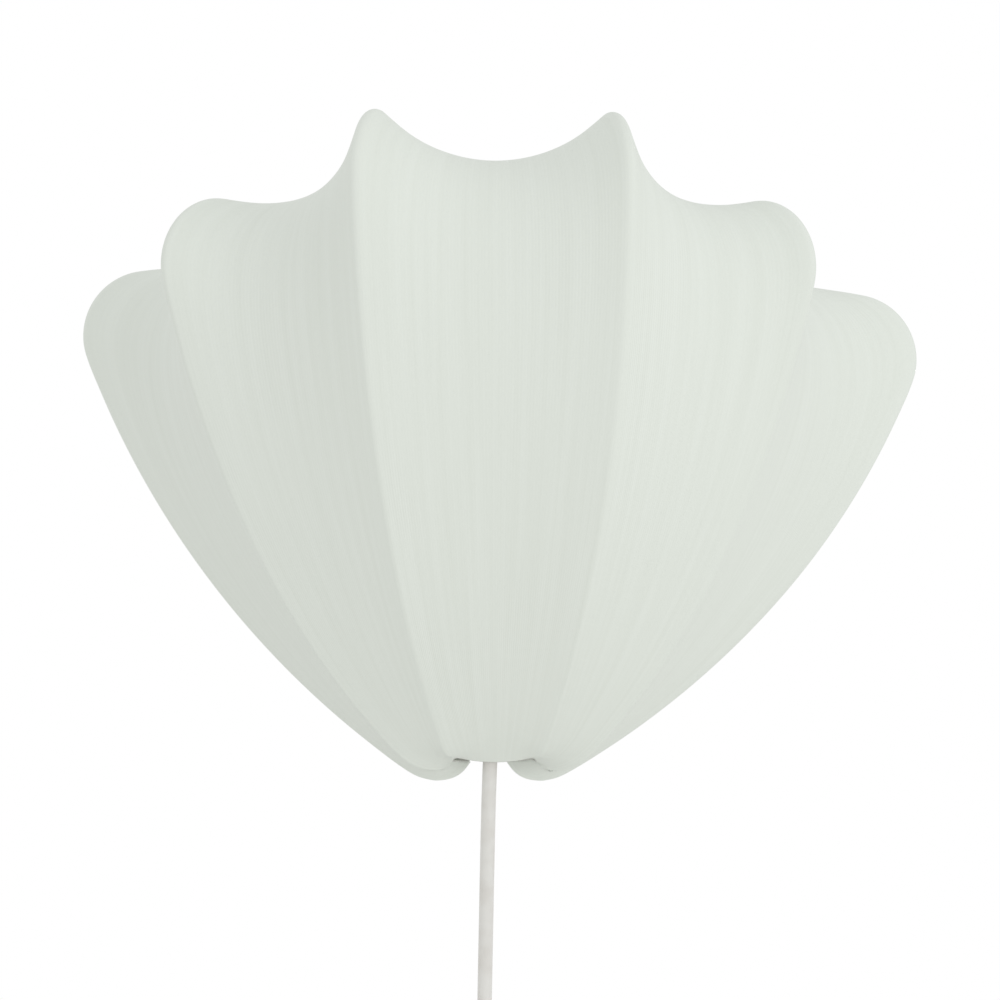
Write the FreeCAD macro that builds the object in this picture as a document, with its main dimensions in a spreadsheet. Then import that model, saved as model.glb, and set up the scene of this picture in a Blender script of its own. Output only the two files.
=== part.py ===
"""Shell wall sconce: a knit cover stretched over six bent-wire ribs, on a flat wall spine.

Millimetres. The wall is the plane Y = 0, the front of the lamp looks along -Y, +X is to the
right seen from the front and +Z is up. The origin lies on the back face of the wall spine,
half way between its two screw holes.
"""
import math
import os

import FreeCAD, Part
import Sketcher

os.makedirs("parts", exist_ok=True)
doc = FreeCAD.newDocument("shell_wall_sconce")
sheet = doc.addObject("Spreadsheet::Sheet", "Sizes")
V = FreeCAD.Vector

# ---------------------------------------------------------------- sizes, one cell each
CELLS = [
    # the shade as a whole; every rib takes its widest point from these three
    ("shade_width", 398.4, "between the widest points of the two outer ribs"),
    ("shade_depth", 171.0, "wall to the widest point of the front ribs"),
    ("shade_rise", 144.4, "origin up to the widest point of the front ribs"),
    # frame: wall spine and the two hub plates that the ribs end on
    ("spine_width", 24.0, "wall spine, flat steel"),
    ("spine_thickness", 3.0, "wall spine"),
    ("screw_spacing", 60.0, "between the two wall screw holes"),
    ("screw_hole", 5.0, "diameter of each wall screw hole"),
    ("hub_width", 54.0, "hub plate, across"),
    ("hub_reach", 34.0, "hub plate, from the spine to its front edge"),
    ("hub_thickness", 3.0, "hub plates"),
    ("hub_corner", 8.0, "radius of the two front corners"),
    ("upper_hub_z", 100.0, "underside of the upper hub plate"),
    ("lower_hub_z", -104.0, "underside of the lower hub plate"),
    ("weld_gap", 0.2, "rib end to hub plate"),
    # ribs: plan place of the two ends, then the widest point as shares of the shade's sizes;
    # the wires are bent by hand, and "stray" is how far each one is from its share
    ("wire", 4.5, "diameter of the rib wire"),
    ("shoulder_radius", 28.5, "bend over the top of every rib"),
    ("top_hook_radius", 12.0, "bend down onto the upper hub plate"),
    ("top_stub", 6.0, "straight end over the upper hub plate"),
    ("outer_end_x", 10.0, "outer ribs, end, from the middle"),
    ("outer_end_y", 6.0, "outer ribs, end, from the wall"),
    ("outer_end_shift", -3.0, "outer ribs, both ends moved along the wall"),
    ("outer_reach_share", 1.0, "outer ribs, reach in half the shade's width"),
    ("outer_depth_share", 0.0351, "outer ribs, widest point in the shade's depth"),
    ("outer_rise_share", 0.512, "outer ribs, widest point in the shade's rise"),
    ("outer_low_z", -133.1, "outer ribs, lowest point"),
    ("outer_hook_radius", 14.0, "outer ribs, bend up to the lower hub"),
    ("outer_foot_radius", 25.0, "outer ribs, bend from the foot into the flare"),
    ("left_outer_stray", -1.9, "left outer rib, outwards"),
    ("left_outer_stray_z", 5.4, "left outer rib, upwards"),
    ("left_outer_foot_lean", 55.0, "left outer rib, lean where the flare starts, degrees"),
    ("left_outer_lean", 20.9, "left outer rib, lean where the shoulder starts, degrees"),
    ("right_outer_stray", 1.9, "right outer rib, outwards"),
    ("right_outer_stray_z", -5.4, "right outer rib, upwards"),
    ("right_outer_foot_lean", 60.0, "right outer rib, lean where the flare starts, degrees"),
    ("right_outer_lean", 21.8, "right outer rib, lean where the shoulder starts, degrees"),
    ("middle_end_x", 19.0, "middle ribs, end, from the middle"),
    ("middle_end_y", 10.0, "middle ribs, end, from the wall"),
    ("middle_reach_share", 0.74, "middle ribs, reach in half the shade's width"),
    ("middle_depth_share", 0.6667, "middle ribs, widest point in the shade's depth"),
    ("middle_rise_share", 0.7455, "middle ribs, widest point in the shade's rise"),
    ("middle_low_z", -127.3, "middle ribs, lowest point"),
    ("middle_hook_radius", 12.0, "middle ribs, bend up to the lower hub"),
    ("middle_foot_radius", 32.0, "middle ribs, bend from the foot into the flare"),
    ("left_middle_stray", 2.8, "left middle rib, outwards"),
    ("left_middle_stray_z", 0.3, "left middle rib, upwards"),
    ("left_middle_foot_lean", 49.4, "left middle rib, lean where the flare starts, degrees"),
    ("left_middle_lean", 15.1, "left middle rib, lean where the shoulder starts, degrees"),
    ("right_middle_stray", -2.9, "right middle rib, outwards"),
    ("right_middle_stray_z", -0.3, "right middle rib, upwards"),
    ("right_middle_foot_lean", 49.4, "right middle rib, lean where the flare starts, degrees"),
    ("right_middle_lean", 14.4, "right middle rib, lean where the shoulder starts, degrees"),
    ("front_end_x", 17.8, "front ribs, end, from the middle"),
    ("front_end_y", 18.4, "front ribs, end, from the wall"),
    ("front_reach_share", 0.305, "front ribs, reach in half the shade's width"),
    ("front_depth_share", 1.0, "front ribs, widest point in the shade's depth"),
    ("front_rise_share", 1.0, "front ribs, widest point in the shade's rise"),
    ("front_low_z", -120.4, "front ribs, lowest point"),
    ("front_hook_radius", 10.0, "front ribs, bend up to the lower hub"),
    ("front_foot_radius", 20.3, "front ribs, bend from the foot into the flare"),
    ("left_front_stray", 0.4, "left front rib, outwards"),
    ("left_front_stray_z", 0.6, "left front rib, upwards"),
    ("left_front_foot_lean", 49.4, "left front rib, lean where the flare starts, degrees"),
    ("left_front_lean", 5.8, "left front rib, lean where the shoulder starts, degrees"),
    ("right_front_stray", -0.4, "right front rib, outwards"),
    ("right_front_stray_z", -0.6, "right front rib, upwards"),
    ("right_front_foot_lean", 49.4, "right front rib, lean where the flare starts, degrees"),
    ("right_front_lean", 1.0, "right front rib, lean where the shoulder starts, degrees"),
    # cover
    ("cover_thickness", 0.8, "knit fabric"),
    ("cover_clearance", 0.25, "fabric to rib wire"),
    ("cover_pull", 1.3, "tension along the ribs as a share of the tension across them"),
    ("outer_wrap", 0.7, "share of the lower bend that the cover wraps on the outer ribs"),
    ("middle_wrap", 0.4, "the same on the middle ribs"),
    ("front_wrap", 0.0, "the same on the front ribs"),
    ("front_droop", 3.0, "lower edge of the front panel, sag at its middle"),
    ("hem_width", 9.0, "flap behind the outer ribs"),
    ("elastic", 2.0, "diameter of the elastic in the back hem"),
    ("elastic_gap", 0.2, "elastic to the edge of the flap"),
    # lampholder bracket
    ("lamp_y", -29.0, "lamp axis, from the wall"),
    ("seat_z", -44.0, "top of the bracket shelf, where the lampholder stands"),
    ("bracket_width", 22.0, "bent bracket, across"),
    ("bracket_thickness", 2.0, "bent bracket"),
    ("bracket_drop", 34.0, "bent bracket, height of its upright leg"),
    ("bracket_overhang", 13.0, "shelf past the lamp axis"),
    ("bracket_screw_top", 10.0, "shelf underside to the first screw"),
    ("bracket_screw_step", 14.0, "between the two bracket screws"),
    ("bracket_screw", 4.0, "bracket screws, thread diameter"),
    ("bracket_screw_head", 7.0, "bracket screws, head diameter"),
    ("bracket_head_height", 2.4, "bracket screws, head height"),
    ("bracket_screw_short", 0.5, "bracket screws, tip short of the wall"),
    ("bracket_slot", 1.0, "driver slot, width and depth"),
    ("overshoot", 1.0, "cutting shapes run this far past a face"),
    ("thread_clearance", 0.05, "screw or nipple in its hole, radial"),
    # lampholder and lamp
    ("nipple", 10.0, "threaded nipple under the lampholder, diameter"),
    ("nipple_length", 20.0, "nipple below the seat"),
    ("nut_across", 14.0, "nipple nut, across flats"),
    ("nut_height", 4.0, "nipple nut"),
    ("gland_top", 14.5, "cord gland, upper diameter"),
    ("gland_bottom", 10.0, "cord gland, lower diameter"),
    ("gland_length", 22.0, "cord gland"),
    ("holder_diameter", 27.0, "lampholder"),
    ("base_height", 18.0, "lower half of the lampholder"),
    ("shell_height", 23.0, "upper half of the lampholder"),
    ("holder_wall", 2.2, "lampholder wall"),
    ("rim_diameter", 29.5, "rim round the mouth of the lampholder"),
    ("rim_height", 3.0, "rim round the mouth of the lampholder"),
    ("cap_diameter", 13.9, "screw cap of the lamp, E14"),
    ("cap_length", 20.0, "screw cap of the lamp"),
    ("cap_foot", 7.0, "screw cap, diameter round the solder contact"),
    ("cap_taper", 3.0, "screw cap, height of its tapered foot"),
    ("sleeve_wall", 0.6, "threaded metal sleeve of the lampholder"),
    ("sleeve_clearance", 0.2, "screw cap in the threaded sleeve, radial"),
    ("sleeve_gap", 0.1, "threaded sleeve in the lampholder, radial"),
    ("sleeve_length", 16.0, "threaded metal sleeve"),
    ("contact_width", 6.0, "spring contact under the lamp"),
    ("contact_height", 2.0, "spring contact under the lamp"),
    ("lamp_contact", 5.0, "solder contact of the lamp, diameter"),
    ("lamp_contact_height", 2.0, "solder contact of the lamp"),
    ("globe_diameter", 45.0, "round glass bulb"),
    ("globe_wall", 1.0, "bulb glass"),
    ("lamp_length", 76.0, "lamp, contact to top of the glass"),
    # cord and its grommet
    ("cord", 7.0, "round cord, diameter"),
    ("cord_clearance", 0.1, "cord in a bore, radial"),
    ("cord_hole", 12.0, "hole in the lower hub for the grommet"),
    ("cord_hole_y", -23.9, "centre of that hole"),
    ("cord_hole_x", -1.1, "centre of that hole"),
    ("grommet_bore", 9.5, "grommet, inside diameter"),
    ("grommet_flange", 15.5, "grommet, flange diameter"),
    ("grommet_lip", 1.2, "grommet, flange thickness"),
    ("grommet_gap", 0.1, "grommet in its hole, radial"),
    # in-line rocker switch
    ("switch_x", -4.8, "switch, centre"),
    ("switch_y", -20.0, "switch, parting plane"),
    ("switch_top_z", -262.0, "switch, upper end"),
    ("switch_length", 62.0, "switch housing"),
    ("switch_width", 26.0, "switch housing"),
    ("switch_front", 11.0, "front half, depth"),
    ("switch_back", 9.0, "back half, depth"),
    ("switch_round", 4.0, "radius along the long edges"),
    ("switch_wall", 2.4, "housing wall"),
    ("switch_cavity", 38.0, "cavity, height"),
    ("switch_cavity_width", 17.2, "cavity, across"),
    ("cord_entry", 9.0, "cord inside each end of the switch"),
    ("rocker_width", 10.0, "rocker"),
    ("rocker_length", 19.0, "rocker"),
    ("rocker_proud", 2.6, "rocker above the housing at its ends"),
    ("rocker_depth", 5.2, "rocker, ends, front to back"),
    ("rocker_tilt", 7.0, "slope of each half of the rocker, degrees"),
    ("rocker_gap", 0.5, "rocker in its window, each side"),
    ("rocker_end_gap", 1.0, "rocker in its window, each end, room to rock"),
    ("pin_diameter", 3.0, "rocker pivot"),
    ("pin_length", 2.2, "rocker pivot, each side, past the rocker"),
    ("pin_clearance", 0.08, "rocker pivot in its bore, radial"),
    ("pin_depth", 4.0, "rocker pivot, behind the front face"),
    ("pin_end_gap", 0.5, "rocker pivot in its bore, each end"),
    ("rocker_foot", 5.2, "rocker, height of its narrow inner side"),
    ("rocker_back", 1.6, "rocker, pivot to its inner side"),
    ("ear_thickness", 2.4, "ears that hold the rocker pivot"),
    ("ear_height", 7.0, "ears that hold the rocker pivot"),
    ("ear_gap", 0.6, "rocker to each ear"),
    ("ear_skin", 1.0, "ears, past the middle of the pivot"),
    ("switch_screw", 2.5, "housing screws, thread diameter"),
    ("switch_screw_head", 4.6, "housing screws, head diameter"),
    ("switch_head_height", 1.8, "housing screws, head height"),
    ("switch_head_sunk", 0.6, "housing screws, head below the back face"),
    ("switch_head_gap", 0.2, "housing screws, head in its pocket, radial"),
    ("switch_slot", 0.7, "driver slot, width and depth"),
    ("switch_screw_skin", 1.0, "material left over the blind screw holes"),
    ("switch_screw_length", 9.0, "housing screws, under the head"),
    ("switch_screw_x", 8.8, "housing screws, from the middle"),
    ("switch_screw_z", 24.5, "housing screws, from the middle"),
    # put-away coil, tie, plug
    ("coil_radius", 42.0, "middle of the turns"),
    ("coil_section", 21.5, "thickness of the bundle of turns"),
    ("coil_drop", 66.0, "lower end of the switch to the middle of the coil"),
    ("tie_width", 12.0, "hook-and-loop tie round the coil"),
    ("tie_thickness", 1.4, "tie"),
    ("tie_gap", 0.3, "tie to bundle"),
    ("tail_start", 30.0, "middle of the coil to where the cord leaves it"),
    ("tail_length", 18.0, "cord from the coil to the plug"),
    ("boot_length", 22.0, "tapered strain relief of the plug"),
    ("boot_end", 9.6, "strain relief, diameter at the cord"),
    ("boot_root", 13.0, "strain relief, diameter at the plug"),
    ("boot_grip", 8.0, "cord inside the strain relief"),
    ("plug_width", 35.0, "flat plug body"),
    ("plug_depth", 13.6, "flat plug body"),
    ("plug_length", 34.0, "flat plug body"),
    ("plug_neck", 17.0, "flat plug body, width at the strain relief"),
    ("plug_pin", 4.0, "plug pins"),
    ("plug_pin_spacing", 18.6, "plug pins"),
    ("plug_pin_length", 19.0, "plug pins"),
    ("plug_pin_root", 10.0, "insulated length of each pin"),
    ("plug_pin_step", 0.1, "insulated length, thinner than the tip, radial"),
    ("plug_pin_hold", 8.0, "pin inside the plug body"),
    ("plug_pin_gap", 0.02, "pin in the plug body, radial"),
    ("plug_pin_round", 1.2, "radius of the pin tip"),
    ("plug_corner", 3.0, "radius of the plug body's corners"),
    ("plug_shoulder", 15.3, "strain relief to the widest part of the plug body"),
]
for row, (alias, number, note) in enumerate(CELLS, start=1):
    sheet.set("A%d" % row, alias.replace("_", " "))
    sheet.set("B%d" % row, repr(number))
    sheet.setAlias("B%d" % row, alias)
    sheet.set("C%d" % row, note)
doc.recompute()


def size(alias):
    """The value of one named size."""
    return float(sheet.get(alias))


NODES = []


def node(obj, label):
    """Give the object that carries a finished piece its name."""
    obj.Label = label
    NODES.append(obj)
    return obj


# ---------------------------------------------------------------- primitives tied to the sheet
def bind(obj, **terms):
    """Tie properties to expressions; x, y and z are the place of the object."""
    for prop, term in terms.items():
        path = "Placement.Base.%s" % prop if prop in "xyz" else prop
        obj.setExpression(path, term)
    return obj


def cylinder(diameter, height, x="0", y="0", z="0", axis=None):
    """A cylinder; axis "X" or "Y" lays it down, pointing to +X or to -Y."""
    obj = doc.addObject("Part::Cylinder", "Cylinder")
    bind(obj, Radius="(%s) / 2" % diameter, Height=height, x=x, y=y, z=z)
    if axis == "X":
        obj.Placement.Rotation = FreeCAD.Rotation(V(0, 1, 0), 90)
    if axis == "Y":
        obj.Placement.Rotation = FreeCAD.Rotation(V(1, 0, 0), 90)
    return obj


def cone(lower, upper, height, x="0", y="0", z="0"):
    """An upright cone from its lower to its upper diameter."""
    obj = doc.addObject("Part::Cone", "Cone")
    return bind(obj, Radius1="(%s) / 2" % lower, Radius2="(%s) / 2" % upper, Height=height,
                x=x, y=y, z=z)


def box(length, width, height, x, y, z):
    """A box from its lowest corner."""
    obj = doc.addObject("Part::Box", "Box")
    return bind(obj, Length=length, Width=width, Height=height, x=x, y=y, z=z)


def cut(base, tool):
    """Base less tool."""
    obj = doc.addObject("Part::Cut", "Cut")
    obj.Base, obj.Tool = base, tool
    return obj


def fuse(*shapes):
    """One solid from several."""
    obj = doc.addObject("Part::MultiFuse", "Fusion")
    obj.Shapes = list(shapes)
    return obj


def group(*shapes):
    """Several like solids kept apart in one piece."""
    obj = doc.addObject("Part::Compound", "Group")
    obj.Links = list(shapes)
    return obj


def made(label, shape):
    """A piece whose shape no primitive or sketch gives."""
    obj = doc.addObject("Part::Feature", label)
    obj.Shape = shape
    return node(obj, label)


# ---------------------------------------------------------------- sketched plates
def origin_plane(body, role):
    """One of the three origin planes of a body."""
    return [f for f in body.Origin.OriginFeatures if f.Role == role][0]


def rectangle(body, role, left, right, low, high):
    """A rectangle on an origin plane, its four sides tied to the sheet."""
    sketch = body.newObject("Sketcher::SketchObject", "Outline")
    sketch.AttachmentSupport = [(origin_plane(body, role), "")]
    sketch.MapMode = "FlatFace"
    a, b, c, d = V(-1, -1, 0), V(1, -1, 0), V(1, 1, 0), V(-1, 1, 0)
    for p, q in ((a, b), (b, c), (c, d), (d, a)):
        sketch.addGeometry(Part.LineSegment(p, q), False)
    for i in range(4):
        sketch.addConstraint(Sketcher.Constraint("Coincident", i, 2, (i + 1) % 4, 1))
    for i, kind in enumerate(("Horizontal", "Vertical", "Horizontal", "Vertical")):
        sketch.addConstraint(Sketcher.Constraint(kind, i))
    ties = (("DistanceX", 0, 1, left), ("DistanceX", 2, 1, right),
            ("DistanceY", 0, 1, low), ("DistanceY", 2, 1, high))
    for kind, line, end, term in ties:
        sign = -1.0 if term in (left, low) else 1.0
        index = sketch.addConstraint(Sketcher.Constraint(kind, -1, 1, line, end, sign))
        sketch.setExpression("Constraints[%d]" % index, term)
    doc.recompute()
    return sketch


def pad(body, sketch, length, backwards=False):
    """A pad of a sketch."""
    feature = body.newObject("PartDesign::Pad", "Pad")
    feature.Profile = sketch
    feature.setExpression("Length", length)
    feature.Reversed = backwards
    doc.recompute()
    return feature


def round_hole(body, role, x, y, diameter):
    """A round hole right through a plate, drawn on an origin plane."""
    sketch = body.newObject("Sketcher::SketchObject", "Hole")
    sketch.AttachmentSupport = [(origin_plane(body, role), "")]
    sketch.MapMode = "FlatFace"
    sketch.addGeometry(Part.Circle(V(0, 0, 0), V(0, 0, 1), 1), False)
    for kind, term in (("DistanceX", x), ("DistanceY", y)):
        index = sketch.addConstraint(Sketcher.Constraint(kind, -1, 1, 0, 3, 0.5))
        sketch.setExpression("Constraints[%d]" % index, term)
    index = sketch.addConstraint(Sketcher.Constraint("Diameter", 0, 2))
    sketch.setExpression("Constraints[%d]" % index, diameter)
    pocket = body.newObject("PartDesign::Pocket", "Pocket")
    pocket.Profile = sketch
    pocket.Type = "ThroughAll"
    pocket.Midplane = True
    doc.recompute()
    return pocket


def wall_spine():
    """Flat bar against the wall, from hub to hub, with its screw holes."""
    body = doc.addObject("PartDesign::Body", "Spine")
    outline = rectangle(body, "XZ_Plane", "-Sizes.spine_width / 2", "Sizes.spine_width / 2",
                        "Sizes.lower_hub_z", "Sizes.upper_hub_z + Sizes.hub_thickness")
    pad(body, outline, "Sizes.spine_thickness")
    for z in ("Sizes.screw_spacing / 2", "-Sizes.screw_spacing / 2"):
        round_hole(body, "XZ_Plane", "0", z, "Sizes.screw_hole")
    screw = "Sizes.seat_z - Sizes.bracket_thickness - Sizes.bracket_screw_top"
    bore = "Sizes.bracket_screw + 2 * Sizes.thread_clearance"
    round_hole(body, "XZ_Plane", "0", screw, bore)
    round_hole(body, "XZ_Plane", "0", screw + " - Sizes.bracket_screw_step", bore)
    return node(body, "wall_spine")


def hub_plate(label, level, holed):
    """Flat plate that the ribs are welded to; the lower one lets the cord through."""
    body = doc.addObject("PartDesign::Body", "Hub")
    outline = rectangle(body, "XY_Plane", "-Sizes.hub_width / 2", "Sizes.hub_width / 2",
                        "-Sizes.hub_reach", "-Sizes.spine_thickness")
    plate = pad(body, outline, "Sizes.hub_thickness")
    front = -size("hub_reach")
    names = ["Edge%d" % (i + 1) for i, edge in enumerate(plate.Shape.Edges)
             if all(abs(v.Point.y - front) < 1e-6 for v in edge.Vertexes)
             and abs(edge.Vertexes[0].Point.z - edge.Vertexes[1].Point.z) > 1]
    fillet = body.newObject("PartDesign::Fillet", "Corners")
    fillet.Base = (plate, names)
    fillet.setExpression("Radius", "Sizes.hub_corner")
    doc.recompute()
    if holed:
        round_hole(body, "XY_Plane", "Sizes.cord_hole_x", "Sizes.cord_hole_y", "Sizes.cord_hole")
    body.setExpression("Placement.Base.z", level)
    return node(body, label)


# ---------------------------------------------------------------- ribs
def unit(q, z):
    """Unit vector in the plane of a rib."""
    length = math.hypot(q, z)
    return q / length, z / length


class Rib:
    """One bent wire, flat in an upright plane, from the lower hub round to the upper hub.

    Its path is a chain of tangent bends in (q, z): q runs outward in plan from the two ends.
    """

    def __init__(self, side, pair, name):
        self.side = side
        shift = size("outer_end_shift") if pair == "outer" else 0.0
        self.end = (size(pair + "_end_x") + side * shift, size(pair + "_end_y"))
        reach = size("shade_width") / 2 * size(pair + "_reach_share")
        self.far = (reach + size(name + "_stray"), size("shade_depth") * size(pair + "_depth_share"))
        self.length = math.hypot(self.far[0] - self.end[0], self.far[1] - self.end[1])
        self.wrap = size(pair + "_wrap")
        self.spans = self.bends(pair, name)

    def bends(self, pair, name):
        """The spans of the path: each a function of 0..1, and whether it is an arc."""
        hook, foot = size(pair + "_hook_radius"), size(pair + "_foot_radius")
        low, lean = size(pair + "_low_z"), math.radians(size(name + "_foot_lean"))
        top = size("shade_rise") * size(pair + "_rise_share") + size(name + "_stray_z")
        tilt = math.radians(size(name + "_lean"))
        bend, crook = size("shoulder_radius"), size("top_hook_radius")
        under = size("lower_hub_z") - size("weld_gap")
        over = size("upper_hub_z") + size("hub_thickness") + size("weld_gap")
        start = (hook + foot * math.cos(lean), low + foot - foot * math.sin(lean))
        shoulder = (self.length - bend, top)
        finish = (shoulder[0] + bend * math.cos(tilt), top - bend * math.sin(tilt))
        joint = biarc_joint(start, lean, finish, tilt)
        lower, heading = tangent_arc(start, lean, joint)
        upper, heading = tangent_arc(joint, heading, finish)
        crown = (crook, over + size("top_stub"))
        dq, dz = crown[0] - shoulder[0], crown[1] - shoulder[1]
        slope = math.asin((bend - crook) / math.hypot(dq, dz))
        turn = (math.atan2(dz, dq) - math.pi / 2 + slope) % (2 * math.pi)
        back = (place(shoulder, bend, turn), place(crown, crook, turn))
        return [
            (line((0, under), (0, low + hook)), False),
            (arc((hook, low + hook), hook, math.pi, 1.5 * math.pi), True),
            (arc((hook, low + foot), foot, -math.pi / 2, -lean), True),
            (lower, True),
            (upper, True),
            (arc(shoulder, bend, -tilt, turn), True),
            (line(*back), False),
            (arc(crown, crook, turn, math.pi), True),
            (line((0, crown[1]), (0, over)), False),
        ]

    def point(self, q, z):
        """A point of the rib's plane in space."""
        share = q / self.length
        x = self.end[0] + share * (self.far[0] - self.end[0])
        y = self.end[1] + share * (self.far[1] - self.end[1])
        return V(self.side * x, -y, z)

    def outward(self, dq, dz):
        """The direction in space, square to the path, that points out of the lamp."""
        dq, dz = unit(dq, dz)
        along = (self.far[0] - self.end[0]) / self.length, (self.far[1] - self.end[1]) / self.length
        return V(self.side * along[0] * dz, -along[1] * dz, -dq)

    def wire(self, first, last, inset=0.0, back=0.0):
        """The path from one span to another, moved in from the wire and towards the wall."""
        edges = []
        for span, curved in self.spans[first:last + 1]:
            marks = [self.shifted(span, t, inset, back) for t in (0.0, 0.5, 1.0)]
            if marks[0].distanceToPoint(marks[2]) < 0.01:
                continue
            edge = Part.Arc(*marks) if curved else Part.LineSegment(marks[0], marks[2])
            edges.append(edge.toShape())
        return Part.Wire(edges)

    def shifted(self, span, t, inset, back):
        """A point of a span moved in from the wire and towards the wall."""
        dq, dz = span_heading(span, t)
        return self.point(*span(t)) - self.outward(dq, dz) * inset + V(0, back, 0)


def place(centre, radius, angle):
    """A point of a circle."""
    return centre[0] + radius * math.cos(angle), centre[1] + radius * math.sin(angle)


def arc(centre, radius, start, stop):
    """An arc as a function of 0..1."""
    return lambda t: place(centre, radius, start + (stop - start) * t)


def line(a, b):
    """A straight span as a function of 0..1."""
    return lambda t: (a[0] + (b[0] - a[0]) * t, a[1] + (b[1] - a[1]) * t)


def span_heading(span, t, step=1e-4):
    """The direction of a span at t."""
    (q0, z0), (q1, z1) = span(t - step), span(t + step)
    return q1 - q0, z1 - z0


def biarc_joint(a, lean_a, b, lean_b):
    """Where two tangent arcs meet that leave a and reach b at the given leans from upright."""
    ta, tb = (math.sin(lean_a), math.cos(lean_a)), (math.sin(lean_b), math.cos(lean_b))
    v = b[0] - a[0], b[1] - a[1]
    t = ta[0] + tb[0], ta[1] + tb[1]
    vt, vv = v[0] * t[0] + v[1] * t[1], v[0] ** 2 + v[1] ** 2
    k = 2 * (1 - ta[0] * tb[0] - ta[1] * tb[1])
    d = (math.sqrt(vt * vt + k * vv) - vt) / k
    return ((a[0] + b[0] + d * (ta[0] - tb[0])) / 2, (a[1] + b[1] + d * (ta[1] - tb[1])) / 2)


def tangent_arc(a, lean, b):
    """The arc that leaves a at a lean from upright and ends at b, and its lean there."""
    head = math.pi / 2 - lean
    chord = math.atan2(b[1] - a[1], b[0] - a[0])
    half = math.atan2(math.sin(chord - head), math.cos(chord - head))
    radius = math.hypot(b[0] - a[0], b[1] - a[1]) / 2 / math.sin(half)
    centre = a[0] - math.sin(head) * radius, a[1] + math.cos(head) * radius
    start = math.atan2(a[1] - centre[1], a[0] - centre[0])
    return arc(centre, abs(radius), start, start + 2 * half), lean - 2 * half


def tube(path, diameter):
    """A round solid along a wire."""
    first = path.OrderedEdges[0]
    start = first.valueAt(first.FirstParameter)
    heading = first.tangentAt(first.FirstParameter)
    if path.OrderedEdges[0].Orientation == "Reversed":
        start = first.valueAt(first.LastParameter)
        heading = first.tangentAt(first.LastParameter).negative()
    ring = Part.Wire([Part.makeCircle(diameter / 2, start, heading)])
    return path.makePipeShell([ring], True, False)


# ---------------------------------------------------------------- cover
# rows of the cover along a rib: span of the rib, and how many steps on it
ROWS = ((1, 3), (2, 4), (3, 7), (4, 9), (5, 9), (6, 7))
COLUMNS = 8


def rib_rows(rib):
    """The points of the rib path under each row of the cover."""
    marks = []
    for index, steps in ROWS:
        span = rib.spans[index][0]
        begin = 1.0 - rib.wrap if index == 1 else 0.0
        for k in range(0 if index == 1 else 1, steps + 1):
            t = begin + (1.0 - begin) * k / steps
            dq, dz = span_heading(span, t)
            marks.append((rib.point(*span(t)), rib.outward(dq, dz)))
    if rib.wrap == 0.0:
        # no wrap: the first rows run in from the foot as a short flat edge
        span = rib.spans[2][0]
        first = rib.point(*span(0.0))
        step = (rib.point(*span(0.02)) - first).normalize()
        for k in range(ROWS[0][1]):
            marks[k] = (first - step * (ROWS[0][1] - k) * 1.0, marks[ROWS[0][1]][1])
    return marks


def stretched(left, right, pull, droop=0.0, rounds=260):
    """A panel between two ribs, pulled across them and along them until it rests."""
    rows, wide = len(left), COLUMNS + 1
    grid = [[left[j][0] + (right[j][0] - left[j][0]) * (k / COLUMNS) for k in range(wide)]
            for j in range(rows)]
    for k in range(wide):
        grid[0][k] -= V(0, 0, droop * math.sin(math.pi * k / COLUMNS))
    along = [(grid[j + 1][0] - grid[j][0]).Length / 2 + (grid[j + 1][-1] - grid[j][-1]).Length / 2
             for j in range(rows - 1)]
    across = [(grid[j][-1] - grid[j][0]).Length / COLUMNS for j in range(rows)]
    for _ in range(rounds):
        for j in range(1, rows - 1):
            up, down = pull / along[j], pull / along[j - 1]
            side = 0.5 * (along[j] + along[j - 1]) / max(across[j], 0.5) ** 2
            for k in range(1, COLUMNS):
                total = up + down + 2 * side
                grid[j][k] = ((grid[j + 1][k] * up + grid[j - 1][k] * down
                               + (grid[j][k - 1] + grid[j][k + 1]) * side) * (1.0 / total))
    return grid


def grid_normals(grid):
    """Unit normals of a grid of points, out of the lamp."""
    rows, wide = len(grid), len(grid[0])
    out = []
    for j in range(rows):
        line_of = []
        for k in range(wide):
            u = grid[j][min(k + 1, wide - 1)] - grid[j][max(k - 1, 0)]
            v = grid[min(j + 1, rows - 1)][k] - grid[max(j - 1, 0)][k]
            line_of.append(u.cross(v).normalize())
        out.append(line_of)
    return out


def skin(grid, along, across):
    """A smooth face through a grid of points."""
    rows = []
    for points in grid:
        curve = Part.BSplineCurve()
        curve.interpolate(Points=points, Parameters=across)
        rows.append(curve.getPoles())
    knots_u, mults_u, degree_u = curve.getKnots(), curve.getMultiplicities(), curve.Degree
    columns = []
    for k in range(len(rows[0])):
        curve = Part.BSplineCurve()
        curve.interpolate(Points=[row[k] for row in rows], Parameters=along)
        columns.append(curve.getPoles())
    knots_v, mults_v, degree_v = curve.getKnots(), curve.getMultiplicities(), curve.Degree
    surface = Part.BSplineSurface()
    surface.buildFromPolesMultsKnots(columns, mults_u, mults_v, knots_u, knots_v,
                                     False, False, degree_u, degree_v)
    return surface


def fan(first, last, steps=4):
    """Unit vectors that turn evenly from one to the other."""
    span = max(first.getAngle(last), 1e-3)
    parts = [(first * math.sin((1 - k / steps) * span) + last * math.sin(k / steps * span))
             for k in range(steps + 1)]
    return [part.normalize() for part in parts]


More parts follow.
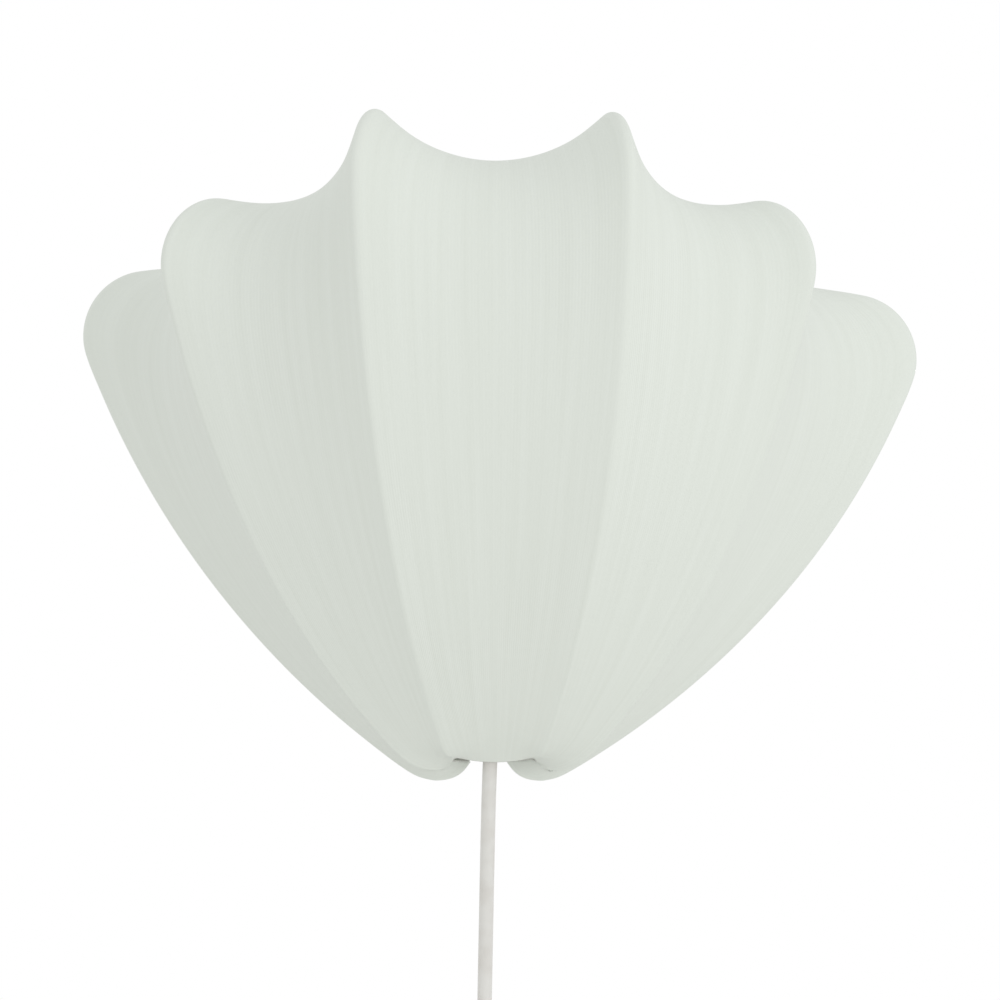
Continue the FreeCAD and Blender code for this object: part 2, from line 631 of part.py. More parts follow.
def cover_patches(ribs):
    """Panels, the wraps round the ribs and the two back flaps, as centres and normals.

    The cover follows each patch at the wire's radius, so a wrap is a part of a tube round the
    wire and the panels leave it on both sides.
    """
    rows = [rib_rows(rib) for rib in ribs]
    pull, middle = size("cover_pull"), len(rows) // 2 - 1
    panels = [stretched(a, b, pull, size("front_droop") if k == middle else 0.0)
              for k, (a, b) in enumerate(zip(rows[:-1], rows[1:]))]
    normals = [grid_normals(panel) for panel in panels]
    wall, hem = V(0, 1, 0), size("hem_width")
    patches = []
    for index, marks in enumerate(rows):
        before = [n[-1] for n in normals[index - 1]] if index else [wall] * len(marks)
        after = [n[0] for n in normals[index]] if index < len(normals) else [wall] * len(marks)
        wrap = ([[mark[0]] * 5 for mark in marks], [fan(a, b) for a, b in zip(before, after)])
        flap = ([[point - out * (hem * k / 2.0) for k in range(3)] for point, out in marks],
                [[wall] * 3 for _ in marks])
        if index == 0:
            patches.append(([line_[::-1] for line_ in flap[0]], flap[1]))
        patches.append(wrap)
        if index < len(panels):
            patches.append((panels[index], normals[index]))
        else:
            patches.append(flap)
    return patches, rows


def fabric_cover(ribs):
    """The stretched cover as one thin closed solid, open at the back and at the bottom."""
    patches, rows = cover_patches(ribs)
    near = size("wire") / 2 + size("cover_clearance")
    far = near + size("cover_thickness")
    along = [0.0]
    for j in range(1, len(rows[0])):
        step = sum((row[j][0] - row[j - 1][0]).Length for row in rows) / len(rows)
        along.append(along[-1] + step)
    faces = []
    for index, (points, normals) in enumerate(patches):
        across = [float(k) for k in range(len(points[0]))]
        skins = []
        for depth in (near, far):
            grid = [[p + n * depth for p, n in zip(ps, ns)] for ps, ns in zip(points, normals)]
            skins.append(skin(grid, along, across))
        faces += [surface.toShape() for surface in skins]
        for height in (along[0], along[-1]):
            rims = [surface.vIso(height).toShape() for surface in skins]
            faces.append(Part.makeRuledSurface(*rims))
        if index in (0, len(patches) - 1):
            side = across[0] if index == 0 else across[-1]
            rims = [surface.uIso(side).toShape() for surface in skins]
            faces.append(Part.makeRuledSurface(*rims))
    shell = Part.makeShell(faces)
    shell.sewShape(0.001)
    solid = Part.makeSolid(shell.Shells[0])
    if solid.Volume < 0:
        solid.reverse()
    return made("fabric_cover", solid)


def hem_elastic(ribs):
    """Elastic in the edge of each back flap."""
    inset = size("hem_width") + size("elastic") / 2 + size("elastic_gap")
    back = size("wire") / 2 + size("cover_clearance") + size("cover_thickness") / 2
    strands = [tube(rib.wire(2, 6, inset, back), size("elastic")) for rib in (ribs[0], ribs[-1])]
    return made("hem_elastic", Part.Compound(strands))


# ---------------------------------------------------------------- lampholder
SEAT = "Sizes.seat_z"
LAMP_Y = "Sizes.lamp_y"
BASE_TOP = "Sizes.seat_z + Sizes.base_height"
CONTACT = BASE_TOP + " + Sizes.contact_height"
SLEEVE_INSIDE = "Sizes.cap_diameter + 2 * Sizes.sleeve_clearance"


def lamp_bracket():
    """Bent strip: a leg screwed to the spine and a shelf with a hole for the nipple."""
    left = "-Sizes.bracket_width / 2"
    under = "Sizes.seat_z - Sizes.bracket_thickness"
    reach = "Sizes.bracket_overhang - Sizes.lamp_y - Sizes.spine_thickness"
    shelf = box("Sizes.bracket_width", reach, "Sizes.bracket_thickness",
                left, "Sizes.lamp_y - Sizes.bracket_overhang", under)
    leg = box("Sizes.bracket_width", "Sizes.bracket_thickness", "Sizes.bracket_drop",
              left, "-Sizes.spine_thickness - Sizes.bracket_thickness",
              under + " - Sizes.bracket_drop")
    hole = cylinder("Sizes.nipple + 2 * Sizes.thread_clearance", "Sizes.bracket_thickness * 2",
                    "0", LAMP_Y, under + " - Sizes.bracket_thickness / 2")
    bores = [cylinder("Sizes.bracket_screw + 2 * Sizes.thread_clearance",
                      "Sizes.bracket_thickness * 2", "0",
                      "-Sizes.spine_thickness + Sizes.bracket_thickness / 2", z, "Y")
             for z in bracket_screw_levels()]
    return node(cut(fuse(shelf, leg), fuse(hole, *bores)), "lamp_bracket")


def bracket_screw_levels():
    """Heights of the two bracket screws."""
    first = "Sizes.seat_z - Sizes.bracket_thickness - Sizes.bracket_screw_top"
    return first, first + " - Sizes.bracket_screw_step"


def bracket_screws():
    """Two pan-head screws through the leg into the spine."""
    screws = []
    face = "-Sizes.spine_thickness - Sizes.bracket_thickness"
    for z in bracket_screw_levels():
        shank = cylinder("Sizes.bracket_screw",
                         "Sizes.spine_thickness + Sizes.bracket_thickness"
                         " - Sizes.bracket_screw_short", "0", "-Sizes.bracket_screw_short", z, "Y")
        head = cylinder("Sizes.bracket_screw_head", "Sizes.bracket_head_height", "0", face, z, "Y")
        slot = box("Sizes.bracket_screw_head", "Sizes.bracket_slot", "Sizes.bracket_slot",
                   "-Sizes.bracket_screw_head / 2", face + " - Sizes.bracket_head_height",
                   z + " - Sizes.bracket_slot / 2")
        screws.append(cut(fuse(shank, head), slot))
    return node(group(*screws), "bracket_screws")


def holder_base():
    """Lower half of the lampholder with its hollow nipple."""
    cup = cylinder("Sizes.holder_diameter", "Sizes.base_height", "0", LAMP_Y, SEAT)
    nipple = cylinder("Sizes.nipple", "Sizes.nipple_length + Sizes.overshoot", "0", LAMP_Y,
                      SEAT + " - Sizes.nipple_length")
    room = cylinder("Sizes.holder_diameter - 2 * Sizes.holder_wall",
                    "Sizes.base_height - 3 * Sizes.holder_wall", "0", LAMP_Y,
                    SEAT + " + Sizes.holder_wall")
    bore = cylinder("Sizes.cord + 2 * Sizes.cord_clearance",
                    "Sizes.nipple_length + 2 * Sizes.holder_wall", "0", LAMP_Y,
                    SEAT + " - Sizes.nipple_length - Sizes.overshoot")
    return node(cut(fuse(cup, nipple), fuse(room, bore)), "holder_base")


def nipple_nut():
    """Hexagon nut that clamps the lampholder on the shelf."""
    nut = doc.addObject("Part::Prism", "Nut")
    nut.Polygon = 6
    bind(nut, Circumradius="Sizes.nut_across / sqrt(3)", Height="Sizes.nut_height",
         x="0", y=LAMP_Y, z="Sizes.seat_z - Sizes.bracket_thickness - Sizes.nut_height")
    bore = cylinder("Sizes.nipple + 2 * Sizes.thread_clearance", "Sizes.nut_height * 2", "0",
                    LAMP_Y, "Sizes.seat_z - Sizes.bracket_thickness - Sizes.nut_height * 1.5")
    return node(cut(nut, bore), "nipple_nut")


def cord_gland():
    """Tapered grip on the nipple, round the cord where it leaves the lampholder."""
    top = "Sizes.seat_z - Sizes.bracket_thickness - Sizes.nut_height"
    low = top + " - Sizes.gland_length"
    grip_z = "Sizes.seat_z - Sizes.nipple_length"
    outside = cone("Sizes.gland_bottom", "Sizes.gland_top", "Sizes.gland_length", "0", LAMP_Y, low)
    thread = cylinder("Sizes.nipple + 2 * Sizes.thread_clearance", "Sizes.nipple_length", "0",
                      LAMP_Y, grip_z)
    bore = cylinder("Sizes.cord + 2 * Sizes.cord_clearance",
                    "Sizes.gland_length + 2 * Sizes.overshoot", "0", LAMP_Y,
                    low + " - Sizes.overshoot")
    return node(cut(outside, fuse(thread, bore)), "cord_gland")


def holder_shell():
    """Upper half of the lampholder: a tube with a rim round its mouth."""
    tube_ = cylinder("Sizes.holder_diameter", "Sizes.shell_height", "0", LAMP_Y, BASE_TOP)
    rim = cylinder("Sizes.rim_diameter", "Sizes.rim_height", "0", LAMP_Y,
                   BASE_TOP + " + Sizes.shell_height - Sizes.rim_height")
    inside = SLEEVE_INSIDE + " + 2 * Sizes.sleeve_wall + 2 * Sizes.sleeve_gap"
    bore = cylinder(inside, "Sizes.shell_height + 2 * Sizes.overshoot", "0", LAMP_Y,
                    BASE_TOP + " - Sizes.overshoot")
    mouth = cone(inside, "Sizes.holder_diameter - Sizes.holder_wall * 2",
                 "Sizes.shell_height - Sizes.sleeve_length - Sizes.contact_height", "0", LAMP_Y,
                 CONTACT + " + Sizes.sleeve_length + 0.1 * Sizes.overshoot")
    return node(cut(fuse(tube_, rim), fuse(bore, mouth)), "holder_shell")


def holder_sleeve():
    """Threaded metal sleeve that takes the screw cap."""
    outer = cylinder(SLEEVE_INSIDE + " + 2 * Sizes.sleeve_wall", "Sizes.sleeve_length", "0",
                     LAMP_Y, CONTACT)
    inner = cylinder(SLEEVE_INSIDE, "Sizes.sleeve_length + 2 * Sizes.overshoot", "0", LAMP_Y,
                     CONTACT + " - Sizes.overshoot")
    return node(cut(outer, inner), "holder_sleeve")


def spring_contact():
    """Centre contact on the lampholder's insulator, under the lamp."""
    plate = cylinder("Sizes.contact_width", "Sizes.contact_height", "0", LAMP_Y, BASE_TOP)
    return node(plate, "spring_contact")


def lamp_pieces():
    """Solder contact, screw cap and glass of the lamp."""
    cap_z = CONTACT + " + Sizes.lamp_contact_height"
    tip = cylinder("Sizes.lamp_contact", "Sizes.lamp_contact_height", "0", LAMP_Y, CONTACT)
    node(tip, "lamp_contact")
    collar = cone("Sizes.cap_foot", "Sizes.cap_diameter", "Sizes.cap_taper", "0", LAMP_Y, cap_z)
    barrel = cylinder("Sizes.cap_diameter", "Sizes.cap_length - Sizes.cap_taper", "0", LAMP_Y,
                      cap_z + " + Sizes.cap_taper")
    node(fuse(collar, barrel), "lamp_cap")

    wall, ball = size("globe_wall"), size("globe_diameter") / 2
    foot = size("seat_z") + size("base_height") + size("contact_height")
    top = foot + size("lamp_length")
    neck_z = foot + size("lamp_contact_height") + size("cap_length")
    neck = size("cap_diameter") / 2
    solids = []
    for inset in (0.0, wall):
        radius, throat = ball - inset, neck - inset
        centre = top - ball
        reach = centre - neck_z
        # the neck leaves the ball where a straight cone touches it
        angle = math.asin(radius / math.hypot(reach, throat)) - math.atan2(throat, reach)
        touch = (radius * math.cos(angle), centre - radius * math.sin(angle))
        floor = neck_z + inset
        profile = [Part.LineSegment(V(0, 0, floor), V(throat, 0, floor)).toShape(),
                   Part.LineSegment(V(throat, 0, floor), V(touch[0], 0, touch[1])).toShape(),
                   Part.Arc(V(touch[0], 0, touch[1]), V(radius, 0, centre),
                            V(0, 0, centre + radius)).toShape(),
                   Part.LineSegment(V(0, 0, centre + radius), V(0, 0, floor)).toShape()]
        solids.append(Part.Face(Part.Wire(profile)).revolve(V(0, 0, 0), V(0, 0, 1), 360))
    glass = solids[0].cut(solids[1])
    glass.translate(V(0, size("lamp_y"), 0))
    made("lamp_glass", glass)


def grommet():
    """Rubber grommet in the lower hub, round the cord."""
    x, y = "Sizes.cord_hole_x", "Sizes.cord_hole_y"
    low = "Sizes.lower_hub_z - Sizes.grommet_lip"
    waist = cylinder("Sizes.cord_hole - 2 * Sizes.grommet_gap",
                     "Sizes.hub_thickness + 2 * Sizes.grommet_lip", x, y, low)
    lips = [cylinder("Sizes.grommet_flange", "Sizes.grommet_lip", x, y, z)
            for z in (low, "Sizes.lower_hub_z + Sizes.hub_thickness")]
    bore = cylinder("Sizes.grommet_bore", "Sizes.hub_thickness + 4 * Sizes.grommet_lip", x, y,
                    low + " - Sizes.grommet_lip")
    return node(cut(fuse(waist, *lips), bore), "cord_grommet")


# ---------------------------------------------------------------- cord
def cord_path(points):
    """Straight runs joined by tangent arcs as large as their runs allow, radii printed."""
    edges, radii, start = [], [], points[0]
    for before, corner, after in zip(points[:-2], points[1:-1], points[2:]):
        a, b = corner - before, after - corner
        turn = a.getAngle(b)
        radius = 0.45 * min(a.Length, b.Length) / math.tan(turn / 2)
        cut_back = radius * math.tan(turn / 2)
        a.normalize()
        b.normalize()
        first, last = corner - a * cut_back, corner + b * cut_back
        bisector = (b - a).normalize()
        centre = corner + bisector * (radius / math.cos(turn / 2))
        middle = centre - bisector * radius
        edges.append(Part.LineSegment(start, first).toShape())
        edges.append(Part.Arc(first, middle, last).toShape())
        radii.append(radius)
        start = last
    edges.append(Part.LineSegment(start, points[-1]).toShape())
    print("cord radii", [round(r, 1) for r in radii])
    return Part.Wire(edges)


def cord_piece(label, points):
    """One stretch of cord along its route."""
    if len(points) > 2:
        path = cord_path(points)
    else:
        path = Part.Wire([Part.LineSegment(*points).toShape()])
    solid = tube(path, size("cord"))
    area = math.pi * (size("cord") / 2) ** 2
    print(label, "length", round(path.Length, 1), "volume ratio",
          round(solid.Volume / (area * path.Length), 5))
    return made(label, solid)


def switch_end(upper):
    """Level where the cord stops inside an end of the switch."""
    top = size("switch_top_z")
    if upper:
        return top - size("cord_entry")
    return top - size("switch_length") + size("cord_entry")


def coil_centre():
    """Middle of the coil: the cord comes down beside it and joins its right-hand side."""
    level = size("switch_top_z") - size("switch_length") - size("coil_drop")
    return V(size("switch_x") - size("coil_radius"), size("switch_y"), level)


def cords():
    """Cord from the lampholder to the switch, to the coil and from the coil to the plug."""
    holder_y, seat = size("lamp_y"), size("seat_z")
    x, y = size("switch_x"), size("switch_y")
    route = [V(0, holder_y, seat + size("holder_wall")),
             V(0, holder_y, -84),
             V(-1.4, -22.6, -108),
             V(-2.9, y, -142),
             V(-3.9, y - 0.3, -200),
             V(x, y, switch_end(True) + 18),
             V(x, y, switch_end(True))]
    cord_piece("cord_upper", route)
    centre = coil_centre()
    cord_piece("cord_lower", [V(x, y, switch_end(False)), V(x, y, centre.z + size("tail_start"))])
    leave = centre.z - size("tail_start")
    cord_piece("cord_tail", [V(x, y, leave),
                             V(x, y, leave - size("tail_length") - size("boot_grip"))])
    ring = Part.makeTorus(size("coil_radius"), size("coil_section") / 2, centre, V(0, 1, 0))
    made("cord_coil", ring)


def coil_tie():
    """Strap round the bundle at the top of the coil."""
    centre, half, ring = coil_centre(), size("tie_width") / 2, size("coil_radius")
    fall = ring - math.sqrt(ring ** 2 - half ** 2)
    inner = size("coil_section") / 2 + size("tie_gap") + fall / 2
    start = V(centre.x - half, centre.y, centre.z + ring - fall / 2)
    outside = Part.makeCylinder(inner + size("tie_thickness"), 2 * half, start, V(1, 0, 0))
    inside = Part.makeCylinder(inner, 2 * half + 2, start - V(1, 0, 0), V(1, 0, 0))
    made("coil_tie", outside.cut(inside))


# ---------------------------------------------------------------- in-line switch
SWITCH_Z = "Sizes.switch_top_z - Sizes.switch_length / 2"
FRONT = "Sizes.switch_y - Sizes.switch_front"


def rounded_half(depth, y):
    """Half of the switch housing, with its long outer edges rounded."""
    block = box("Sizes.switch_width", depth, "Sizes.switch_length",
                "Sizes.switch_x - Sizes.switch_width / 2", y,
                "Sizes.switch_top_z - Sizes.switch_length")
    doc.recompute()
    outer = size("switch_y") - size("switch_front") if y == FRONT else \
        size("switch_y") + size("switch_back")
    fillet = doc.addObject("Part::Fillet", "Rounded")
    fillet.Base = block
    radius = size("switch_round")
    fillet.Edges = [(i + 1, radius, radius) for i, edge in enumerate(block.Shape.Edges)
                    if all(abs(v.Point.y - outer) < 1e-6 for v in edge.Vertexes)]
    return fillet


def switch_bores():
    """Room for the cord at both ends of the switch."""
    bore = "Sizes.cord + 2 * Sizes.cord_clearance"
    depth = "Sizes.cord_entry + Sizes.overshoot"
    return (cylinder(bore, depth, "Sizes.switch_x", "Sizes.switch_y",
                     "Sizes.switch_top_z - Sizes.cord_entry"),
            cylinder(bore, depth, "Sizes.switch_x", "Sizes.switch_y",
                     "Sizes.switch_top_z - Sizes.switch_length - Sizes.overshoot"))


def switch_cavity(depth, y):
    """Hollow in one half of the switch."""
    return box("Sizes.switch_cavity_width", depth, "Sizes.switch_cavity",
               "Sizes.switch_x - Sizes.switch_cavity_width / 2", y,
               SWITCH_Z + " - Sizes.switch_cavity / 2")


def screw_places():
    """The two housing screws, at opposite corners."""
    return (("Sizes.switch_x + Sizes.switch_screw_x", SWITCH_Z + " + Sizes.switch_screw_z"),
            ("Sizes.switch_x - Sizes.switch_screw_x", SWITCH_Z + " - Sizes.switch_screw_z"))


PIN_Y = "Sizes.switch_y - Sizes.switch_front + Sizes.pin_depth"


def switch_front():
    """Front half of the switch: window, pivot bores and blind screw holes."""
    half = rounded_half("Sizes.switch_front", FRONT)
    room = switch_cavity("Sizes.switch_front - Sizes.switch_wall",
                         FRONT + " + Sizes.switch_wall")
    window = box("Sizes.rocker_width + 2 * Sizes.rocker_gap", "Sizes.switch_front",
                 "Sizes.rocker_length + 2 * Sizes.rocker_end_gap",
                 "Sizes.switch_x - Sizes.rocker_width / 2 - Sizes.rocker_gap",
                 FRONT + " - Sizes.overshoot",
                 SWITCH_Z + " - Sizes.rocker_length / 2 - Sizes.rocker_end_gap")
    ears = [box("Sizes.ear_thickness", "Sizes.pin_depth + Sizes.ear_skin - Sizes.switch_wall",
                "Sizes.ear_height", x, FRONT + " + Sizes.switch_wall",
                SWITCH_Z + " - Sizes.ear_height / 2")
            for x in ("Sizes.switch_x - Sizes.rocker_width / 2 - Sizes.ear_gap"
                      " - Sizes.ear_thickness",
                      "Sizes.switch_x + Sizes.rocker_width / 2 + Sizes.ear_gap")]
    bore = cylinder("Sizes.pin_diameter + 2 * Sizes.pin_clearance",
                    "Sizes.rocker_width + 2 * Sizes.pin_length + 2 * Sizes.pin_end_gap",
                    "Sizes.switch_x - Sizes.rocker_width / 2 - Sizes.pin_length"
                    " - Sizes.pin_end_gap", PIN_Y, SWITCH_Z, "X")
    depth = "Sizes.switch_front - Sizes.switch_wall - Sizes.switch_screw_skin"
    threads = [cylinder("Sizes.switch_screw + 2 * Sizes.thread_clearance", depth, x,
                        "Sizes.switch_y", z, "Y")
               for x, z in screw_places()]
    hollow = cut(half, fuse(room, window, *switch_bores(), *threads))
    return node(cut(fuse(hollow, *ears), bore), "switch_front")


def switch_back():
    """Back half of the switch with its countersunk screw holes."""
    half = rounded_half("Sizes.switch_back", "Sizes.switch_y")
    room = switch_cavity("Sizes.switch_back - Sizes.switch_wall", "Sizes.switch_y")
    outer = "Sizes.switch_y + Sizes.switch_back"
    holes = []
    for x, z in screw_places():
        holes.append(cylinder("Sizes.switch_screw + 2 * Sizes.thread_clearance",
                              "Sizes.switch_back + 2 * Sizes.overshoot", x,
                              outer + " + Sizes.overshoot", z, "Y"))
        holes.append(cylinder("Sizes.switch_screw_head + 2 * Sizes.switch_head_gap",
                              "Sizes.switch_head_height + Sizes.switch_head_sunk"
                              " + Sizes.overshoot", x, outer + " + Sizes.overshoot", z, "Y"))
    return node(cut(half, fuse(room, *switch_bores(), *holes)), "switch_back")


def switch_screws():
    """Two small screws that hold the halves together."""
    screws = []
    outer = "Sizes.switch_y + Sizes.switch_back"
    for x, z in screw_places():
        top = outer + " - Sizes.switch_head_sunk"
        head = cylinder("Sizes.switch_screw_head", "Sizes.switch_head_height", x, top, z, "Y")
        shank = cylinder("Sizes.switch_screw", "Sizes.switch_screw_length", x,
                         top + " - Sizes.switch_head_height", z, "Y")
        slot = box("Sizes.switch_screw_head", "Sizes.switch_slot", "Sizes.switch_slot",
                   x + " - Sizes.switch_screw_head / 2", top + " - Sizes.switch_slot",
                   z + " - Sizes.switch_slot / 2")
        screws.append(cut(fuse(head, shank), slot))
    return node(group(*screws), "switch_screws")


def switch_rocker():
    """Rocker with two slanting halves on its pivot; its lower half is pressed in."""
    tilt = math.radians(size("rocker_tilt"))
    half, proud = size("rocker_length") / 2, size("rocker_proud")
    pivot = V(size("switch_x"), size("switch_y") - size("switch_front") + size("pin_depth"),
              size("switch_top_z") - size("switch_length") / 2)
    face = -size("pin_depth")
    dip = half * math.tan(tilt)
    depth, back, foot = size("rocker_depth"), size("rocker_back"), size("rocker_foot") / 2
    outline = [(face - proud, half), (face - proud + dip, 0.0), (face - proud, -half),
               (face - proud + depth, -half), (back, -foot), (back, foot),
               (face - proud + depth, half), (face - proud, half)]
    width = size("rocker_width")
    wire = Part.makePolygon([V(-width / 2, y, z) for y, z in outline])
    body = Part.Face(wire).extrude(V(width, 0, 0))
    length = width + 2 * size("pin_length")
    pins = Part.makeCylinder(size("pin_diameter") / 2, length, V(-length / 2, 0, 0), V(1, 0, 0))
    shape = body.fuse(pins).removeSplitter()
    shape.rotate(V(0, 0, 0), V(1, 0, 0), size("rocker_tilt"))
    shape.translate(pivot)
    made("switch_rocker", shape)
    print("rocker pivot", pivot)


# ---------------------------------------------------------------- plug
def plug_levels():
    """Top of the strain relief, top of the body and face of the plug."""
    top = coil_centre().z - size("tail_start") - size("tail_length")
    body = top - size("boot_length")
    return top, body, body - size("plug_length")


def plug():
    """Flat two-pin plug hanging from the coil: strain relief, body and pins."""
    x, y = size("switch_x"), size("switch_y")
    top, body_top, face = plug_levels()
    boot = Part.makeCone(size("boot_root") / 2, size("boot_end") / 2, size("boot_length"),
                         V(x, y, body_top))
    bore = Part.makeCylinder(size("cord") / 2 + size("cord_clearance"),
                             size("boot_grip") + size("overshoot"),
                             V(x, y, top - size("boot_grip")))
    made("plug_boot", boot.cut(bore))
    wide, neck = size("plug_width") / 2, size("plug_neck") / 2
    shoulder = body_top - size("plug_shoulder")
    outline = [(-neck, body_top), (neck, body_top), (wide, shoulder), (wide, face), (-wide, face),
               (-wide, shoulder), (-neck, body_top)]
    depth = size("plug_depth")
    wire = Part.makePolygon([V(x + a, y - depth / 2, z) for a, z in outline])
    body = Part.Face(wire).extrude(V(0, depth, 0))
    body = body.makeFillet(size("plug_corner"), [e for e in body.Edges if e.BoundBox.YLength > 1])
    sockets, pins = [], []
    for side in (-1, 1):
        foot = V(x + side * size("plug_pin_spacing") / 2, y, face)
        pins.append(plug_pin(foot))
        hold = size("plug_pin_hold") + size("plug_pin_gap")
        sockets.append(Part.makeCylinder(size("plug_pin") / 2 + size("plug_pin_gap"), hold, foot))
    made("plug_body", body.cut(sockets[0].fuse(sockets[1])))
    made("plug_pins", Part.Compound(pins))


def plug_pin(foot):
    """One pin: the part held in the body, the insulated length and the rounded metal tip."""
    radius, root = size("plug_pin") / 2, size("plug_pin_root")
    down = V(0, 0, -1)
    sleeve = Part.makeCylinder(radius - size("plug_pin_step"), root, foot, down)
    tip = Part.makeCylinder(radius, size("plug_pin_length") - root, foot + down * root, down)
    low = tip.BoundBox.ZMin
    rim = [e for e in tip.Edges if e.BoundBox.ZMax - low < 1e-6]
    tip = tip.makeFillet(size("plug_pin_round"), rim)
    hold = Part.makeCylinder(radius, size("plug_pin_hold"), foot)
    return sleeve.fuse([tip, hold]).removeSplitter()


# ---------------------------------------------------------------- build
RIBS = [Rib(-1, "outer", "left_outer"), Rib(-1, "middle", "left_middle"),
        Rib(-1, "front", "left_front"), Rib(1, "front", "right_front"),
        Rib(1, "middle", "right_middle"), Rib(1, "outer", "right_outer")]
for number, rib in enumerate(RIBS, start=1):
    made("rib_%d" % number, tube(rib.wire(0, 8), size("wire")))
wall_spine()
hub_plate("upper_hub", "Sizes.upper_hub_z", False)
hub_plate("lower_hub", "Sizes.lower_hub_z", True)
fabric_cover(RIBS)
hem_elastic(RIBS)
lamp_bracket()
bracket_screws()
holder_base()
nipple_nut()
cord_gland()
holder_shell()
holder_sleeve()
spring_contact()
lamp_pieces()
grommet()
cords()
coil_tie()
switch_front()
switch_back()
switch_screws()
switch_rocker()
plug()
doc.recompute()

for obj in doc.Objects:
    if "Invalid" in obj.State or "Error" in obj.State:
        raise RuntimeError("%s did not build" % obj.Label)
for obj in NODES:
    if obj.Shape.isNull() or not obj.Shape.isValid() or not obj.Shape.Solids:
        raise RuntimeError("%s has no valid solid" % obj.Label)
    obj.Shape.exportStep("parts/%s.step" % obj.Label)
    print("%-16s %d solids %10.1f mm3" % (obj.Label, len(obj.Shape.Solids), obj.Shape.Volume))
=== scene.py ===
"""Shell wall sconce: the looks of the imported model.

A knit cover stretched over six bent-wire ribs, with a lampholder inside and a cord that hangs
to an in-line switch, its put-away turns and a plug. Sizes are in millimetres, in the part's own
frame: the wall is Y = 0, the front looks along -Y, +X is to the right and +Z is up. They become
metres where a mesh is made.
"""
import logging
import math
from dataclasses import dataclass
from enum import Enum
from typing import Callable, Sequence

import bmesh
import bpy
import numpy as np
from mathutils import Matrix, Vector


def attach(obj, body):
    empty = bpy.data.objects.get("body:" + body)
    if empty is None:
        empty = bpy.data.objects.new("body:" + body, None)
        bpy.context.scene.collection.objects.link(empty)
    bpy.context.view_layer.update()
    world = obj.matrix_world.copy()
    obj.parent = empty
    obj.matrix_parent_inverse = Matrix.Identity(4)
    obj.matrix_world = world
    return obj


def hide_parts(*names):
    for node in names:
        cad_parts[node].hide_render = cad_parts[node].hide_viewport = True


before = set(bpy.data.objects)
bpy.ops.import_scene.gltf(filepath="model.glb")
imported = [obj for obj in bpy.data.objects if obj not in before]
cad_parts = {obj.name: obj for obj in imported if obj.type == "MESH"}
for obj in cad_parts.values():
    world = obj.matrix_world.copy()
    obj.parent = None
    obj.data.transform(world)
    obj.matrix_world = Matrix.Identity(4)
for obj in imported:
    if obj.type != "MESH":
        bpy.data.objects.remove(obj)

LOG = logging.getLogger("sconce")
MM = 0.001
METRE = 1000.0             # in millimetres
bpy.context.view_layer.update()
Point = tuple[float, float, float]

ON_AXIS = 1e-6             # mm; a smaller radius is a point of the axis
CORNER_SHARE = 0.45        # most of an edge that the easing of one corner takes up
SAME_POINT = 1e-6          # m; CAD points nearer than this are one
SAME_FACE = 0.5            # degrees; CAD faces that turn by less are one
EASED_FROM = 32.0          # degrees; CAD edges that turn by more are eased
EASED_STEPS = 2
EASED_ROUNDNESS = 0.6      # 0.5 is a circle's, 1 keeps the corner
EASED_SHARP = 30.0         # degrees; edges of the eased piece that turn by more stay sharp


# ---------------------------------------------------------------- names of bodies and slots
class Body(str, Enum):
    """The bodies that a piece can ride on."""

    LAMP = "lamp"
    ROCKER = "rocker"


class Slot(str, Enum):
    """The record's material slots."""

    WIRE = "white_wire"
    KNIT = "knit"
    ELASTIC = "elastic"
    PLASTIC = "white_plastic"
    ZINC = "zinc_steel"
    BRASS = "brass"
    ALUMINIUM = "aluminium"
    GLASS = "opal_glass"
    CORD = "cord_jacket"
    RUBBER = "rubber"
    TIE = "tie"
    NICKEL = "nickel"


# ---------------------------------------------------------------- small tools
def linear(colour: str) -> tuple[float, float, float, float]:
    """Turn an sRGB hex colour into linear RGBA.

    Args:
        colour: Six hex digits after a hash sign.

    Returns:
        The colour as the shaders take it.
    """
    parts = [int(colour[i:i + 2], 16) / 255.0 for i in (1, 3, 5)]
    low = [c / 12.92 if c <= 0.04045 else ((c + 0.055) / 1.055) ** 2.4 for c in parts]
    return (*low, 1.0)


def add_node(tree: bpy.types.NodeTree, kind: str, inputs: dict | None = None, **settings):
    """Add a node with its settings, values and links.

    Args:
        tree: The tree that gets the node.
        kind: Blender's name of the node.
        inputs: Socket name or number, and its value or the socket that feeds it.
        **settings: Properties of the node itself.

    Returns:
        The new node.
    """
    node = tree.nodes.new(kind)
    for name, value in settings.items():
        setattr(node, name, value)
    for key, value in (inputs or {}).items():
        socket = node.inputs[key]
        if isinstance(value, bpy.types.NodeSocket):
            tree.links.new(value, socket)
        else:
            socket.default_value = value
    return node


def unit(vectors: np.ndarray) -> np.ndarray:
    """Unit vectors, along the last axis."""
    return vectors / np.maximum(np.linalg.norm(vectors, axis=-1, keepdims=True), 1e-12)


def round_corners(points: Sequence[tuple[float, float]], radius: float, steps: int = 3,
                  closed: bool = True) -> list[tuple[float, float]]:
    """Ease the corners of an outline.

    Args:
        points: Corners of the outline.
        radius: How far from each corner the easing starts.
        steps: Points in each eased corner, less one.
        closed: Whether the outline runs back to its start.

    Returns:
        The eased outline.
    """
    corners, count, out = [np.array(p, float) for p in points], len(points), []
    for i, corner in enumerate(corners):
        if not closed and i in (0, count - 1):
            out.append(tuple(corner))
            continue
        before, after = corners[i - 1] - corner, corners[(i + 1) % count] - corner
        a = corner + before * min(radius / np.linalg.norm(before), CORNER_SHARE)
        b = corner + after * min(radius / np.linalg.norm(after), CORNER_SHARE)
        for k in range(steps + 1):
            t = k / steps
            out.append(tuple((1 - t) ** 2 * a + 2 * t * (1 - t) * corner + t * t * b))
    return out


